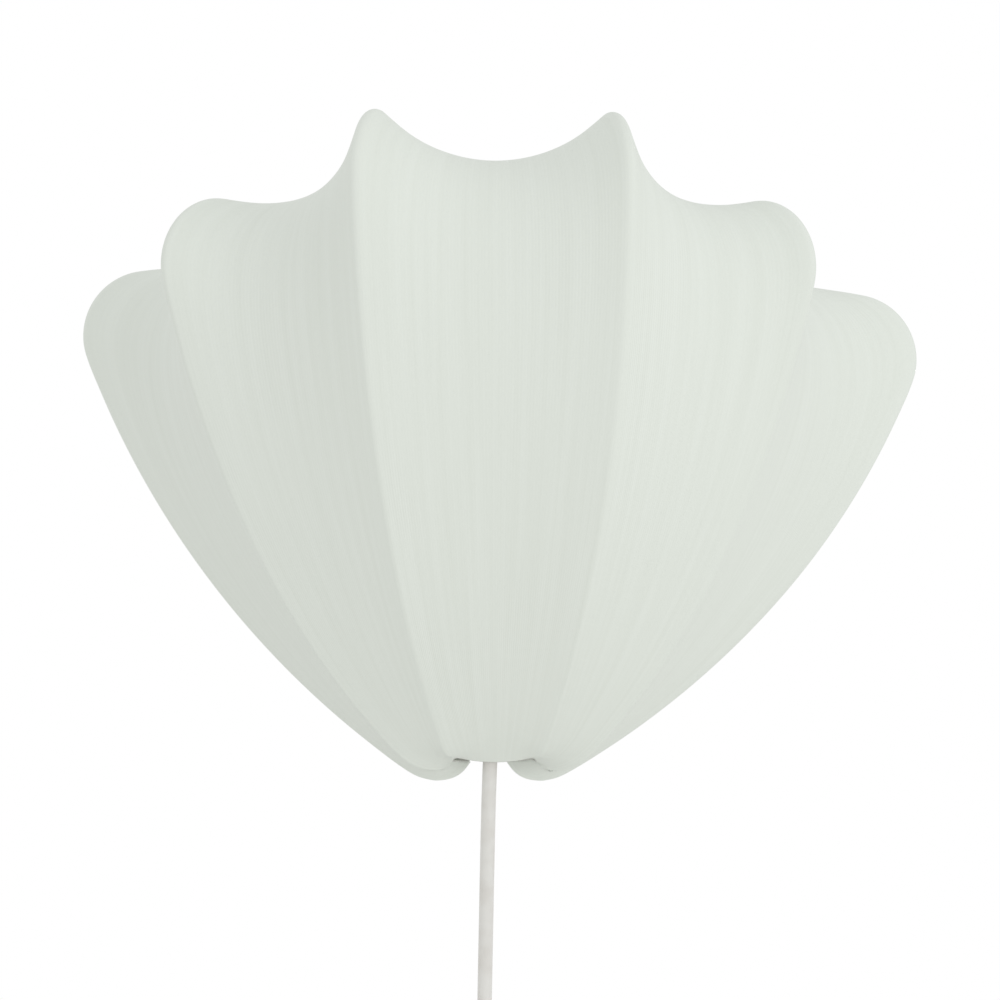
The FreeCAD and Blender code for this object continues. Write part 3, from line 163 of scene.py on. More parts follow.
def placed(name: str, data: bpy.types.ID) -> bpy.types.Object:
    """A new object in the scene, at the origin."""
    obj = bpy.data.objects.new(name, data)
    bpy.context.scene.collection.objects.link(obj)
    return obj


def smooth(mesh: bpy.types.Mesh, sharp: float) -> None:
    """Shade a mesh smooth, apart from edges that turn by more than so many degrees."""
    mesh.shade_smooth()
    mesh.set_sharp_from_angle(angle=math.radians(sharp))


def mesh_from(name: str, verts: np.ndarray, faces: Sequence[Sequence[int]],
              sharp: float = 35.0) -> bpy.types.Object:
    """A mesh object from points in millimetres.

    Args:
        name: Name of the object.
        verts: Points, one row each.
        faces: Corner numbers of each face.
        sharp: Edges that turn by more than this many degrees stay sharp.

    Returns:
        The object, at the origin.
    """
    mesh = bpy.data.meshes.new(name)
    mesh.from_pydata((np.asarray(verts, float) * MM).tolist(), [], [list(f) for f in faces])
    smooth(mesh, sharp)
    return placed(name, mesh)


def joined(parts: Sequence[tuple]) -> tuple[np.ndarray, list[tuple[int, ...]]]:
    """Points and faces of several shells, numbered as one mesh."""
    verts, faces = [], []
    for some, more in parts:
        faces += [tuple(len(verts) + n for n in face) for face in more]
        verts += np.asarray(some, float).tolist()
    return np.array(verts), faces


def lathe(profile: Sequence[tuple[float, float]], centre: tuple[float, float],
          segments: int, closed: bool = True,
          shape: Callable[[float, float, float], float] | None = None):
    """Turn a profile round an upright axis.

    Args:
        profile: Radius and height of each corner; a closed one runs counter-clockwise when the
            radius points right and the height up.
        centre: Place of the axis in X and Y.
        segments: Steps round the axis.
        closed: Whether the profile is a closed ring section; an open one starts and ends on
            the axis.
        shape: Gives the radius from radius, height and angle, for threads and grips.

    Returns:
        Points and faces.
    """
    verts, faces, rings = [], [], []
    for radius, height in profile:
        if radius < ON_AXIS:
            rings.append([len(verts)])
            verts.append((centre[0], centre[1], height))
            continue
        ring = []
        for k in range(segments):
            angle = 2 * math.pi * k / segments
            r = shape(radius, height, angle) if shape else radius
            ring.append(len(verts))
            verts.append((centre[0] + r * math.cos(angle), centre[1] + r * math.sin(angle), height))
        rings.append(ring)
    pairs = list(zip(rings[:-1], rings[1:])) + ([(rings[-1], rings[0])] if closed else [])
    for low, high in pairs:
        for k in range(segments):
            n = (k + 1) % segments
            if len(low) == 1:
                faces.append((low[0], high[n], high[k]))
            elif len(high) == 1:
                faces.append((low[k], low[n], high[0]))
            else:
                faces.append((low[k], low[n], high[n], high[k]))
    return verts, faces


def turned(name: str, profile: Sequence[tuple[float, float]], centre: tuple[float, float],
           segments: int, **how) -> bpy.types.Object:
    """A mesh object turned round an upright axis; lathe says what it takes."""
    return mesh_from(name, *lathe(profile, centre, segments, **how))


@dataclass(frozen=True)
class BendingRings:
    """Rings with grooves between them, so that a tapered strain relief bends evenly."""

    count: int
    below: float                     # plain stretch below the rings, in millimetres
    plain: float                     # plain stretches below and above them together
    slant: float                     # how far a ring's upper edge stands out past its lower one
    groove: float                    # depth of a groove below the ring's lower edge
    shares: tuple[float, float, float]       # of a ring: end of its face, start and end of its groove

    def profile(self, low: float, high: float, small: float,
                large: float) -> list[tuple[float, float]]:
        """Radius and height of the rings' corners.

        Args:
            low: Lower end of the strain relief.
            high: Its upper end.
            small: Radius at the lower end.
            large: Radius at the upper end.

        Returns:
            The corners, from below.
        """
        run, corners = high - low - self.plain, []
        step = run / self.count
        face, start, end = self.shares
        for k in range(self.count):
            z = low + self.below + run * k / self.count
            r = small + (large - small) * (z - low) / (high - low)
            corners += [(r, z), (r + self.slant, z + step * face),
                        (r - self.groove, z + step * start), (r - self.groove, z + step * end)]
        return corners


def frames_along(path: np.ndarray, first_side: Sequence[float]) -> tuple[np.ndarray, np.ndarray]:
    """Side and up directions that turn as little as they can along a path.

    Args:
        path: Points of the path.
        first_side: Wanted side direction at the start.

    Returns:
        The side and up directions at each point.
    """
    heading = unit(np.gradient(path, axis=0))
    side = np.array(first_side, float)
    sides = []
    for direction in heading:
        side = side - direction * side.dot(direction)
        side = side / np.linalg.norm(side)
        sides.append(side)
    sides = np.array(sides)
    return sides, np.cross(heading, sides)


def sweep(path: np.ndarray, section: Sequence[tuple[float, float]],
          first_side: Sequence[float], scale: np.ndarray | None = None):
    """Carry a closed section along a path, with flat ends.

    Args:
        path: Points of the path.
        section: Side and up offsets of the section, counter-clockwise seen against the path.
        first_side: Side direction at the start of the path.
        scale: Size factor of the section at each point.

    Returns:
        Points and faces.
    """
    sides, ups = frames_along(path, first_side)
    grow = np.ones(len(path)) if scale is None else scale
    outline = np.array(section, float)
    rings = (path[:, None] + sides[:, None] * (outline[None, :, :1] * grow[:, None, None])
             + ups[:, None] * (outline[None, :, 1:] * grow[:, None, None]))
    verts, count, faces = rings.reshape(-1, 3), len(outline), []
    for i in range(len(path) - 1):
        for k in range(count):
            n = (k + 1) % count
            faces.append((i * count + k, i * count + n, (i + 1) * count + n, (i + 1) * count + k))
    last = (len(path) - 1) * count
    faces += [tuple(range(count - 1, -1, -1)), tuple(range(last, last + count))]
    return verts, faces


def circle(radius: float, steps: int) -> list[tuple[float, float]]:
    """A round section for sweep."""
    return [(radius * math.cos(2 * math.pi * k / steps), radius * math.sin(2 * math.pi * k / steps))
            for k in range(steps)]


def eased_copy(node: str, width: float) -> bpy.types.Object:
    """A copy of a CAD piece with its sharp edges eased, as a tumbled or moulded edge is.

    Args:
        node: The CAD node.
        width: Width of the eased edge.

    Returns:
        The copy, at the origin.
    """
    shape = bmesh.new()
    shape.from_mesh(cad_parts[node].data)
    bmesh.ops.remove_doubles(shape, verts=shape.verts, dist=SAME_POINT)
    bmesh.ops.dissolve_limit(shape, angle_limit=math.radians(SAME_FACE), verts=shape.verts,
                             edges=shape.edges)
    edges = [e for e in shape.edges
             if e.is_manifold and e.calc_face_angle() > math.radians(EASED_FROM)]
    bmesh.ops.bevel(shape, geom=edges, offset=width * MM, offset_type="OFFSET",
                    segments=EASED_STEPS, profile=EASED_ROUNDNESS, affect="EDGES",
                    clamp_overlap=True)
    mesh = bpy.data.meshes.new(node + "_eased")
    shape.to_mesh(mesh)
    shape.free()
    smooth(mesh, EASED_SHARP)
    return placed(node + "_eased", mesh)


def finish_piece(obj: bpy.types.Object, material: bpy.types.Material,
                 body: Body = Body.LAMP, replaces: Sequence[str] = ()) -> bpy.types.Object:
    """Give a new piece its material and body, and report it.

    Args:
        obj: The piece.
        material: Its material.
        body: The body that it rides on.
        replaces: CAD nodes that it stands for.

    Returns:
        The same piece.
    """
    obj.data.materials.clear()
    obj.data.materials.append(material)
    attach(obj, body.value)
    if replaces:
        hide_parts(*replaces)
    LOG.info("%-22s %s", obj.name, material.name)
    return obj


def ease_node(node: str, width: float, material: bpy.types.Material,
              body: Body = Body.LAMP) -> bpy.types.Object:
    """Put an eased copy in the place of a CAD piece.

    Args:
        node: The CAD node.
        width: Width of the eased edge.
        material: The copy's material.
        body: The body that it rides on.

    Returns:
        The copy.
    """
    return finish_piece(eased_copy(node, width), material, body, (node,))


def dress_node(node: str, material: bpy.types.Material) -> None:
    """Give a CAD piece that keeps its own shape its material."""
    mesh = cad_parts[node].data
    mesh.materials.clear()
    mesh.materials.append(material)
    LOG.info("%-22s %s (CAD shape)", node, material.name)


# ---------------------------------------------------------------- finishes
@dataclass(frozen=True)
class Finish:
    """What every finish has: a name, a colour and how rough it is."""

    name: str
    colour: str
    roughness: float

    def shader(self, **sockets) -> tuple[bpy.types.NodeTree, bpy.types.Node, bpy.types.Material]:
        """Start the material with its constants on the shader's own sockets.

        Args:
            **sockets: Further constants, with underscores for the spaces in a socket's name.

        Returns:
            The node tree, its shader and the material.
        """
        material = bpy.data.materials.new(self.name)
        material.use_nodes = True
        tree = material.node_tree
        tree.nodes.clear()
        shader = add_node(tree, "ShaderNodeBsdfPrincipled", {
            "Base Color": linear(self.colour), "Roughness": self.roughness})
        for name, value in sockets.items():
            shader.inputs[name.replace("_", " ")].default_value = value
        add_node(tree, "ShaderNodeOutputMaterial", {"Surface": shader.outputs[0]})
        return tree, shader, material

    def tint(self, tree, shader, factor, darker: str) -> None:
        """Vary the colour from its own value to a darker one by a factor.

        Args:
            tree: The material's tree.
            shader: Its shader.
            factor: Socket that gives 0 for the plain colour and 1 for the darker one.
            darker: The darker colour.
        """
        mix = add_node(tree, "ShaderNodeMix", {0: factor, 6: linear(self.colour),
                                               7: linear(darker)}, data_type="RGBA")
        tree.links.new(mix.outputs[2], shader.inputs["Base Color"])

    def bump(self, tree, shader, height, depth: float) -> None:
        """Raise the surface by a pattern.

        Args:
            tree: The material's tree.
            shader: Its shader.
            height: Socket that gives 0 to 1.
            depth: Height of the pattern in millimetres.
        """
        node = add_node(tree, "ShaderNodeBump", {"Height": height, "Strength": 1.0,
                                                 "Distance": depth * MM})
        tree.links.new(node.outputs[0], shader.inputs["Normal"])


def on_object(tree: bpy.types.NodeTree) -> bpy.types.NodeSocket:
    """The socket that gives the place on the object, in metres."""
    return add_node(tree, "ShaderNodeTexCoord").outputs["Object"]


def stretched(tree: bpy.types.NodeTree, place: bpy.types.NodeSocket,
              scale: tuple[float, float, float]) -> bpy.types.NodeSocket:
    """A place with its three parts multiplied."""
    return add_node(tree, "ShaderNodeMapping", {"Vector": place, "Scale": scale}).outputs[0]


def noise(tree: bpy.types.NodeTree, place: bpy.types.NodeSocket, scale: float,
          **more: float) -> bpy.types.NodeSocket:
    """Cloudy noise from 0 to 1, with so many humps in a metre."""
    inputs = {"Vector": place, "Scale": scale, **more}
    return add_node(tree, "ShaderNodeTexNoise", inputs).outputs[0]


def patches(tree: bpy.types.NodeTree, factor: bpy.types.NodeSocket, start: float, full: float,
            most: float) -> bpy.types.NodeSocket:
    """Patches of a noise: 0 below its start value, and most where it is full."""
    inputs = {"Value": factor, 1: start, 2: full, 3: 0.0, 4: most}
    return add_node(tree, "ShaderNodeMapRange", inputs).outputs[0]


@dataclass(frozen=True)
class StretchKnit(Finish):
    """Polyester and elastane jersey, pulled tight: matt, even, with faint upright wales.

    The wales and the slow variation between the yarns follow the cloth's own UV map. Its
    columns have their mean width, in metres, so the wales run together towards the feet of the
    ribs as the real ones do.
    """

    shade: str = "#D9DED5"
    wale: float = 1.1        # mm; jersey has a wale every 0.6 mm, drawn coarser so that it shows
    course: float = 1.3      # mm; likewise for the rows of loops
    row_share: float = 0.2   # height of the rows beside that of the wales
    loop_depth: float = 0.016
    streak: float = 3.2      # mm between the slow light and dark streaks
    streak_length: float = 60.0      # times as long as wide
    streaks: tuple[float, float, float] = (0.35, 0.75, 0.3)     # start, full and most

    @staticmethod
    def waves(tree: bpy.types.NodeTree, place: bpy.types.NodeSocket,
              size: float) -> bpy.types.NodeSocket:
        """Even waves along a place, with so many millimetres from crest to crest."""
        angle = add_node(tree, "ShaderNodeMath", {0: place, 1: 2 * math.pi * METRE / size},
                         operation="MULTIPLY")
        return add_node(tree, "ShaderNodeMath", {0: angle.outputs[0]}, operation="SINE").outputs[0]

    def dress(self) -> bpy.types.Material:
        """Make the material."""
        tree, shader, material = self.shader(
            Specular_IOR_Level=0.18, Sheen_Weight=0.12, Sheen_Roughness=0.5, IOR=1.45)
        place = add_node(tree, "ShaderNodeUVMap", uv_map="cloth").outputs[0]
        long = self.streak * self.streak_length
        across = stretched(tree, place, (METRE / self.streak, METRE / long, 1.0))
        streaks = noise(tree, across, 1.0, Detail=3.0, Roughness=0.6)
        self.tint(tree, shader, patches(tree, streaks, *self.streaks), self.shade)
        split = add_node(tree, "ShaderNodeSeparateXYZ", {"Vector": place}).outputs
        both = add_node(tree, "ShaderNodeMath", {
            0: self.waves(tree, split[1], self.course), 1: self.row_share,
            2: self.waves(tree, split[0], self.wale)}, operation="MULTIPLY_ADD")
        self.bump(tree, shader, both.outputs[0], self.loop_depth)
        return material


@dataclass(frozen=True)
class PowderCoat(Finish):
    """Powder-coated steel: a thick satin skin with a slight orange peel."""

    shade: str = "#DBDBD6"
    clouds: float = 30.0     # in a metre
    peel: float = 1.6        # mm from hump to hump
    peel_depth: float = 0.03

    def dress(self) -> bpy.types.Material:
        """Make the material."""
        tree, shader, material = self.shader(IOR=1.5, Coat_Weight=0.15, Coat_Roughness=0.3)
        place = on_object(tree)
        self.tint(tree, shader, noise(tree, place, self.clouds), self.shade)
        self.bump(tree, shader, noise(tree, place, METRE / self.peel, Detail=1.0), self.peel_depth)
        return material


@dataclass(frozen=True)
class MouldedPlastic(Finish):
    """Injection-moulded plastic: an even colour with the mould's fine spark texture."""

    shade: str = "#D6D6D1"
    clouds: float = 45.0     # in a metre
    grain: float = 0.5       # mm; drawn coarser than the real 0.1 mm so that it shows
    grain_depth: float = 0.012

    def dress(self) -> bpy.types.Material:
        """Make the material."""
        tree, shader, material = self.shader(IOR=1.48, Specular_IOR_Level=0.45)
        place = on_object(tree)
        self.tint(tree, shader, noise(tree, place, self.clouds), self.shade)
        grain = noise(tree, place, METRE / self.grain, Detail=2.0)
        self.bump(tree, shader, grain, self.grain_depth)
        return material


@dataclass(frozen=True)
class BareMetal(Finish):
    """Bare or plated metal: turned, rolled or drawn, with fine marks round the axis."""

    wear: str = "#8E8E8C"
    clouds: float = 120.0    # in a metre
    worn: tuple[float, float, float] = (0.45, 0.75, 0.5)        # start, full and most
    marks: float = 0.25      # mm between the tool marks
    mark_waves: float = 60.0         # in a metre, along a mark
    mark_depth: float = 0.01

    def dress(self) -> bpy.types.Material:
        """Make the material."""
        tree, shader, material = self.shader(Metallic=1.0)
        place = on_object(tree)
        cloud = noise(tree, place, self.clouds)
        self.tint(tree, shader, patches(tree, cloud, *self.worn), self.wear)
        flat = stretched(tree, place, (self.mark_waves, self.mark_waves, METRE / self.marks))
        self.bump(tree, shader, noise(tree, flat, 1.0, Detail=2.0), self.mark_depth)
        return material


@dataclass(frozen=True)
class OpalGlass(Finish):
    """Opal glass: milk-white inside, a clean gloss outside, light bleeding through."""

    shade: str = "#E9E9E4"
    clouds: float = 60.0     # in a metre

    def dress(self) -> bpy.types.Material:
        """Make the material."""
        tree, shader, material = self.shader(
            IOR=1.5, Subsurface_Weight=0.35, Subsurface_Scale=0.004)
        self.tint(tree, shader, noise(tree, on_object(tree), self.clouds), self.shade)
        return material


@dataclass(frozen=True)
class CordJacket(Finish):
    """Extruded PVC cord jacket: half matt, with faint lines along it and a little dust."""

    dust: str = "#D3CFC9"
    clouds: float = 90.0     # in a metre
    dusty: tuple[float, float, float] = (0.4, 0.7, 0.5)         # start, full and most
    line: float = 0.9        # mm between the drawing lines
    line_waves: float = 18.0         # in a metre, along a line
    line_depth: float = 0.02

    def dress(self) -> bpy.types.Material:
        """Make the material."""
        tree, shader, material = self.shader(IOR=1.5, Specular_IOR_Level=0.4)
        place = on_object(tree)
        cloud = noise(tree, place, self.clouds)
        self.tint(tree, shader, patches(tree, cloud, *self.dusty), self.dust)
        upright = stretched(tree, place, (METRE / self.line, METRE / self.line, self.line_waves))
        self.bump(tree, shader, noise(tree, upright, 1.0, Detail=2.0), self.line_depth)
        return material


@dataclass(frozen=True)
class WovenTape(Finish):
    """Narrow woven goods, such as elastic, sewing thread and hook-and-loop strap."""

    shade: str = "#C4C6C0"
    thread: float = 0.7      # mm
    thread_depth: float = 0.08

    def dress(self) -> bpy.types.Material:
        """Make the material."""
        tree, shader, material = self.shader(
            Specular_IOR_Level=0.2, Sheen_Weight=0.2, Sheen_Roughness=0.5)
        cells = add_node(tree, "ShaderNodeTexVoronoi", {
            "Vector": on_object(tree), "Scale": METRE / self.thread}).outputs[0]
        self.tint(tree, shader, cells, self.shade)
        self.bump(tree, shader, cells, self.thread_depth)
        return material


@dataclass(frozen=True)
class StudioPaper(Finish):
    """Seamless paper: matt, with the faintest cloud in it."""

    shade: str = "#F0F0EE"
    clouds: float = 3.0      # in a metre

    def dress(self) -> bpy.types.Material:
        """Make the material."""
        tree, shader, material = self.shader(Specular_IOR_Level=0.1)
        self.tint(tree, shader, noise(tree, on_object(tree), self.clouds), self.shade)
        return material


@dataclass(frozen=True)
class Palette:
    """One material of each finish."""

    knit: bpy.types.Material
    wire: bpy.types.Material
    plastic: bpy.types.Material
    rocker: bpy.types.Material
    rubber: bpy.types.Material
    zinc: bpy.types.Material
    brass: bpy.types.Material
    aluminium: bpy.types.Material
    nickel: bpy.types.Material
    solder: bpy.types.Material
    opal: bpy.types.Material
    cord: bpy.types.Material
    thread: bpy.types.Material
    tie: bpy.types.Material

    @classmethod
    def mixed(cls) -> "Palette":
        """Make every material of the lamp."""
        return cls(
            knit=StretchKnit("stretch_jersey_offwhite", "#E6EBE4", 0.92).dress(),
            wire=PowderCoat("powder_coated_steel_white", "#E6E6E1", 0.42).dress(),
            plastic=MouldedPlastic("moulded_abs_white", "#E4E4DF", 0.45).dress(),
            rocker=MouldedPlastic("moulded_pc_white", "#EDEDE9", 0.3).dress(),
            rubber=MouldedPlastic("moulded_soft_pvc_white", "#DAD7D1", 0.6, grain=0.8).dress(),
            zinc=BareMetal("zinc_plated_steel", "#B9BBBD", 0.38).dress(),
            brass=BareMetal("rolled_brass", "#C9A860", 0.3, wear="#8F7440").dress(),
            aluminium=BareMetal("rolled_aluminium", "#CFCFCF", 0.33).dress(),
            nickel=BareMetal("nickel_plated_brass", "#C8C5BD", 0.22).dress(),
            solder=BareMetal("tin_solder", "#9FA1A2", 0.45).dress(),
            opal=OpalGlass("opal_glass_white", "#F4F4F0", 0.12).dress(),
            cord=CordJacket("extruded_pvc_offwhite", "#E3E2DE", 0.5).dress(),
            thread=WovenTape("sewing_thread_white", "#E3E5DF", 0.85, thread=0.4).dress(),
            tie=WovenTape("hook_and_loop_white", "#DDDDD7", 0.9, thread=1.0).dress(),
        )


# ---------------------------------------------------------------- studio
@dataclass(frozen=True)
class Studio:
    """Camera at the photograph's place, soft light from the right front, and a pale floor.

    The camera is level, two metres from the wall, and a millimetre of the wall is a fixed part
    of a picture 1000 pixels wide.
    """

    distance: float = 2000.0
    pixel: float = 0.4875            # mm of the wall in one pixel
    picture: int = 1000
    sensor: float = 36.0
    swing: float = 0.34              # degrees that the lamp is turned in the picture
    offset: float = 4.5              # pixels from the lamp's middle to the picture's middle
    roll: float = 0.13
    floor_z: float = -520.0
    floor_radius: float = 2150.0
    floor_thickness: float = 2.0
    white: str = "#FFFFFF"
    ambient: float = 0.84
    key: float = 10.0                # watts
    key_size: float = 1400.0
    key_place: Point = (1500.0, -1900.0, -150.0)
    key_aim: Point = (0.0, -60.0, 20.0)

    def camera(self) -> None:
        """Place the scene's camera."""
        turn = math.radians(self.swing)
        aim = turn - math.atan(self.offset * self.pixel / self.distance)
        data = bpy.data.cameras.new("camera")
        data.sensor_width = self.sensor
        data.lens = self.sensor * self.distance / (self.pixel * self.picture)
        data.clip_start, data.clip_end = 0.05, 50.0
        camera = placed("camera", data)
        place = Vector((self.distance * math.sin(turn), -self.distance * math.cos(turn), 0.0))
        look = (Matrix.Rotation(aim, 4, "Z") @ Matrix.Rotation(math.pi / 2, 4, "X")
                @ Matrix.Rotation(math.radians(self.roll), 4, "Z"))
        camera.matrix_world = Matrix.Translation(place * MM) @ look
        bpy.context.scene.camera = camera

    def key_light(self) -> None:
        """Place the square soft light that looks at the shade."""
        data = bpy.data.lights.new("key", "AREA")
        data.shape, data.size, data.energy = "SQUARE", self.key_size * MM, self.key
        data.color = linear(self.white)[:3]
        light = placed("key", data)
        aim = Vector(self.key_aim) - Vector(self.key_place)
        light.matrix_world = (Matrix.Translation(Vector(self.key_place) * MM)
                              @ aim.to_track_quat("-Z", "Y").to_matrix().to_4x4())

    def sky(self) -> None:
        """Light the room evenly, and keep it plain white where it is seen or mirrored."""
        world = bpy.data.worlds.new("white_room")
        world.use_nodes = True
        tree = world.node_tree
        tree.nodes.clear()
        rays = add_node(tree, "ShaderNodeLightPath").outputs
        seen = rays["Is Camera Ray"]
        for ray in ("Is Glossy Ray", "Is Transmission Ray"):
            seen = add_node(tree, "ShaderNodeMath", {0: seen, 1: rays[ray]},
                            operation="MAXIMUM").outputs[0]
        soft, white = (add_node(tree, "ShaderNodeBackground", {
            "Color": linear(self.white), "Strength": strength}).outputs[0]
            for strength in (self.ambient, 1.0))
        mix = add_node(tree, "ShaderNodeMixShader", {0: seen, 1: soft, 2: white})
        add_node(tree, "ShaderNodeOutputWorld", {"Surface": mix.outputs[0]})
        bpy.context.scene.world = world
        bpy.context.scene.view_settings.view_transform = "Standard"

    def floor(self) -> None:
        """Lay the round paper floor under everything that hangs from the lamp."""
        under = self.floor_z - self.floor_thickness
        floor = turned("studio_floor", [(0.0, under), (self.floor_radius, under),
                                        (self.floor_radius, self.floor_z), (0.0, self.floor_z)],
                       (0.0, 0.0), segments=96, closed=False)
        floor.data.materials.append(StudioPaper("studio_paper", "#F4F4F2", 0.9).dress())


# ---------------------------------------------------------------- ribs
@dataclass(frozen=True)
class RibPair:
    """What the left and the right rib of a pair share, in millimetres."""

    end: tuple[float, float]         # plan place of both ends: from the middle, from the wall
    shift: float                     # both ends of the pair, moved along the wall
    reach_share: float
    depth_share: float
    rise_share: float
    low: float
    hook: float
    foot: float
    wrap: float


OUTER = RibPair((10.0, 6.0), -3.0, 1.0, 0.0351, 0.512, -133.1, 14.0, 25.0, 0.7)
MIDDLE = RibPair((19.0, 10.0), 0.0, 0.74, 0.6667, 0.7455, -127.3, 12.0, 32.0, 0.4)
FRONT = RibPair((17.8, 18.4), 0.0, 0.305, 1.0, 1.0, -120.4, 10.0, 20.3, 0.0)


@dataclass(frozen=True)
class Wire:
    """Sizes that all the ribs and the hubs share, in millimetres."""

    diameter: float = 4.5
    shade_width: float = 398.4
    shade_depth: float = 171.0
    shade_rise: float = 144.4
    shoulder: float = 28.5
    top_hook: float = 12.0
    top_stub: float = 6.0
    upper_hub: float = 100.0
    lower_hub: float = -104.0
    hub_thickness: float = 3.0
    weld_gap: float = 0.2


WIRE = Wire()
Span = Callable[[float], tuple[float, float]]


def on_circle(centre: tuple[float, float], radius: float, angle: float) -> tuple[float, float]:
    """A point of a circle."""
    return centre[0] + radius * math.cos(angle), centre[1] + radius * math.sin(angle)


def arc(centre: tuple[float, float], radius: float, start: float, stop: float) -> Span:
    """An arc as a function of 0..1."""
    return lambda t: on_circle(centre, radius, start + (stop - start) * t)


def line(a: tuple[float, float], b: tuple[float, float]) -> Span:
    """A straight span as a function of 0..1."""
    return lambda t: (a[0] + (b[0] - a[0]) * t, a[1] + (b[1] - a[1]) * t)


def biarc_joint(a, lean_a: float, b, lean_b: float) -> tuple[float, float]:
    """Where two tangent arcs meet that leave a and reach b at the given leans from upright."""
    ta, tb = (math.sin(lean_a), math.cos(lean_a)), (math.sin(lean_b), math.cos(lean_b))
    v, t = (b[0] - a[0], b[1] - a[1]), (ta[0] + tb[0], ta[1] + tb[1])
    vt, vv = v[0] * t[0] + v[1] * t[1], v[0] ** 2 + v[1] ** 2
    k = 2 * (1 - ta[0] * tb[0] - ta[1] * tb[1])
    d = (math.sqrt(vt * vt + k * vv) - vt) / k
    return (a[0] + b[0] + d * (ta[0] - tb[0])) / 2, (a[1] + b[1] + d * (ta[1] - tb[1])) / 2


def tangent_arc(a, lean: float, b) -> tuple[Span, float]:
    """The arc that leaves a at a lean from upright and ends at b, and its lean there."""
    head = math.pi / 2 - lean
    chord = math.atan2(b[1] - a[1], b[0] - a[0])
    half = math.atan2(math.sin(chord - head), math.cos(chord - head))
    radius = math.hypot(b[0] - a[0], b[1] - a[1]) / 2 / math.sin(half)
    centre = a[0] - math.sin(head) * radius, a[1] + math.cos(head) * radius
    start = math.atan2(a[1] - centre[1], a[0] - centre[0])
    return arc(centre, abs(radius), start, start + 2 * half), lean - 2 * half


@dataclass(frozen=True)
class Rib:
    """One bent wire, flat in an upright plane, with its own small departures from its pair."""

    pair: RibPair
    side: int
    stray: float
    stray_z: float
    foot_lean: float
    lean: float

    @property
    def end(self) -> np.ndarray:
        """Plan place of both ends."""
        return np.array([self.pair.end[0] + self.side * self.pair.shift, self.pair.end[1]])

    @property
    def far(self) -> np.ndarray:
        """Plan place of the widest point."""
        return np.array([WIRE.shade_width / 2 * self.pair.reach_share + self.stray,
                         WIRE.shade_depth * self.pair.depth_share])

    @property
    def length(self) -> float:
        """Plan distance from the ends to the widest point."""
        return float(np.linalg.norm(self.far - self.end))

    def spans(self) -> list[Span]:
        """The rib's path from hook to hub, without its straight ends.

        Returns:
            Hook, foot bend, two bends of the flare, shoulder and straight return.
        """
        pair, bend, crook = self.pair, WIRE.shoulder, WIRE.top_hook
        lean, tilt = math.radians(self.foot_lean), math.radians(self.lean)
        top = WIRE.shade_rise * pair.rise_share + self.stray_z
        start = (pair.hook + pair.foot * math.cos(lean), pair.low + pair.foot * (1 - math.sin(lean)))
        shoulder = (self.length - bend, top)
        finish = (shoulder[0] + bend * math.cos(tilt), top - bend * math.sin(tilt))
        joint = biarc_joint(start, lean, finish, tilt)
        lower, heading = tangent_arc(start, lean, joint)
        upper, _ = tangent_arc(joint, heading, finish)
        over = WIRE.upper_hub + WIRE.hub_thickness + WIRE.weld_gap
        crown = (crook, over + WIRE.top_stub)
        dq, dz = crown[0] - shoulder[0], crown[1] - shoulder[1]
        slope = math.asin((bend - crook) / math.hypot(dq, dz))
        turn = (math.atan2(dz, dq) - math.pi / 2 + slope) % (2 * math.pi)
        return [arc((pair.hook, pair.low + pair.hook), pair.hook, math.pi, 1.5 * math.pi),
                arc((pair.hook, pair.low + pair.foot), pair.foot, -math.pi / 2, -lean),
                lower, upper, arc(shoulder, bend, -tilt, turn),
                line(on_circle(shoulder, bend, turn), on_circle(crown, crook, turn))]

    def point(self, place: tuple[float, float]) -> np.ndarray:
        """A point of the rib's plane in space."""
        plan = self.end + (self.far - self.end) * place[0] / self.length
        return np.array([self.side * plan[0], -plan[1], place[1]])

    def mark(self, span: Span, t: float, step: float = 1e-4) -> tuple[np.ndarray, np.ndarray]:
        """A point of a span, and the direction there that points out of the lamp."""
        (q0, z0), (q1, z1) = span(t - step), span(t + step)
        dq, dz = q1 - q0, z1 - z0
        size = math.hypot(dq, dz)
        along = (self.far - self.end) / self.length
        out = np.array([self.side * along[0] * dz, -along[1] * dz, -dq]) / size
        return self.point(span(t)), out


RIBS = (
    Rib(OUTER, -1, -1.9, 5.4, 55.0, 20.9),
    Rib(MIDDLE, -1, 2.8, 0.3, 49.4, 15.1),
    Rib(FRONT, -1, 0.4, 0.6, 49.4, 5.8),
    Rib(FRONT, 1, -0.4, -0.6, 49.4, 1.0),
    Rib(MIDDLE, 1, -2.9, -0.3, 49.4, 14.4),
    Rib(OUTER, 1, 1.9, -5.4, 60.0, 21.8),
)


# ---------------------------------------------------------------- geometry nodes
BAKED_SHARP = 40.0         # degrees; edges of a baked mesh that turn by more stay sharp
BEAD_LUMPS = 600.0         # in a metre
BEAD_WOBBLE = 0.6          # mm from the lowest lump to the highest, at most
BEAD_TURN = 6.28           # each bead is turned by up to this angle
STITCH_LEAN = 0.12         # radians; a stitch leans by up to this much


def node_tree(name: str, sizes: Sequence[str]) -> bpy.types.NodeTree:
    """A geometry tree with one named input for each size.

    Args:
        name: Name of the tree.
        sizes: Names of its inputs, in metres or plain numbers.

    Returns:
        The tree, with geometry in and out.
    """
    tree = bpy.data.node_groups.new(name, "GeometryNodeTree")
    for direction in ("INPUT", "OUTPUT"):
        tree.interface.new_socket("Geometry", in_out=direction, socket_type="NodeSocketGeometry")
    for size in sizes:
        tree.interface.new_socket(size, in_out="INPUT", socket_type="NodeSocketFloat")
    return tree


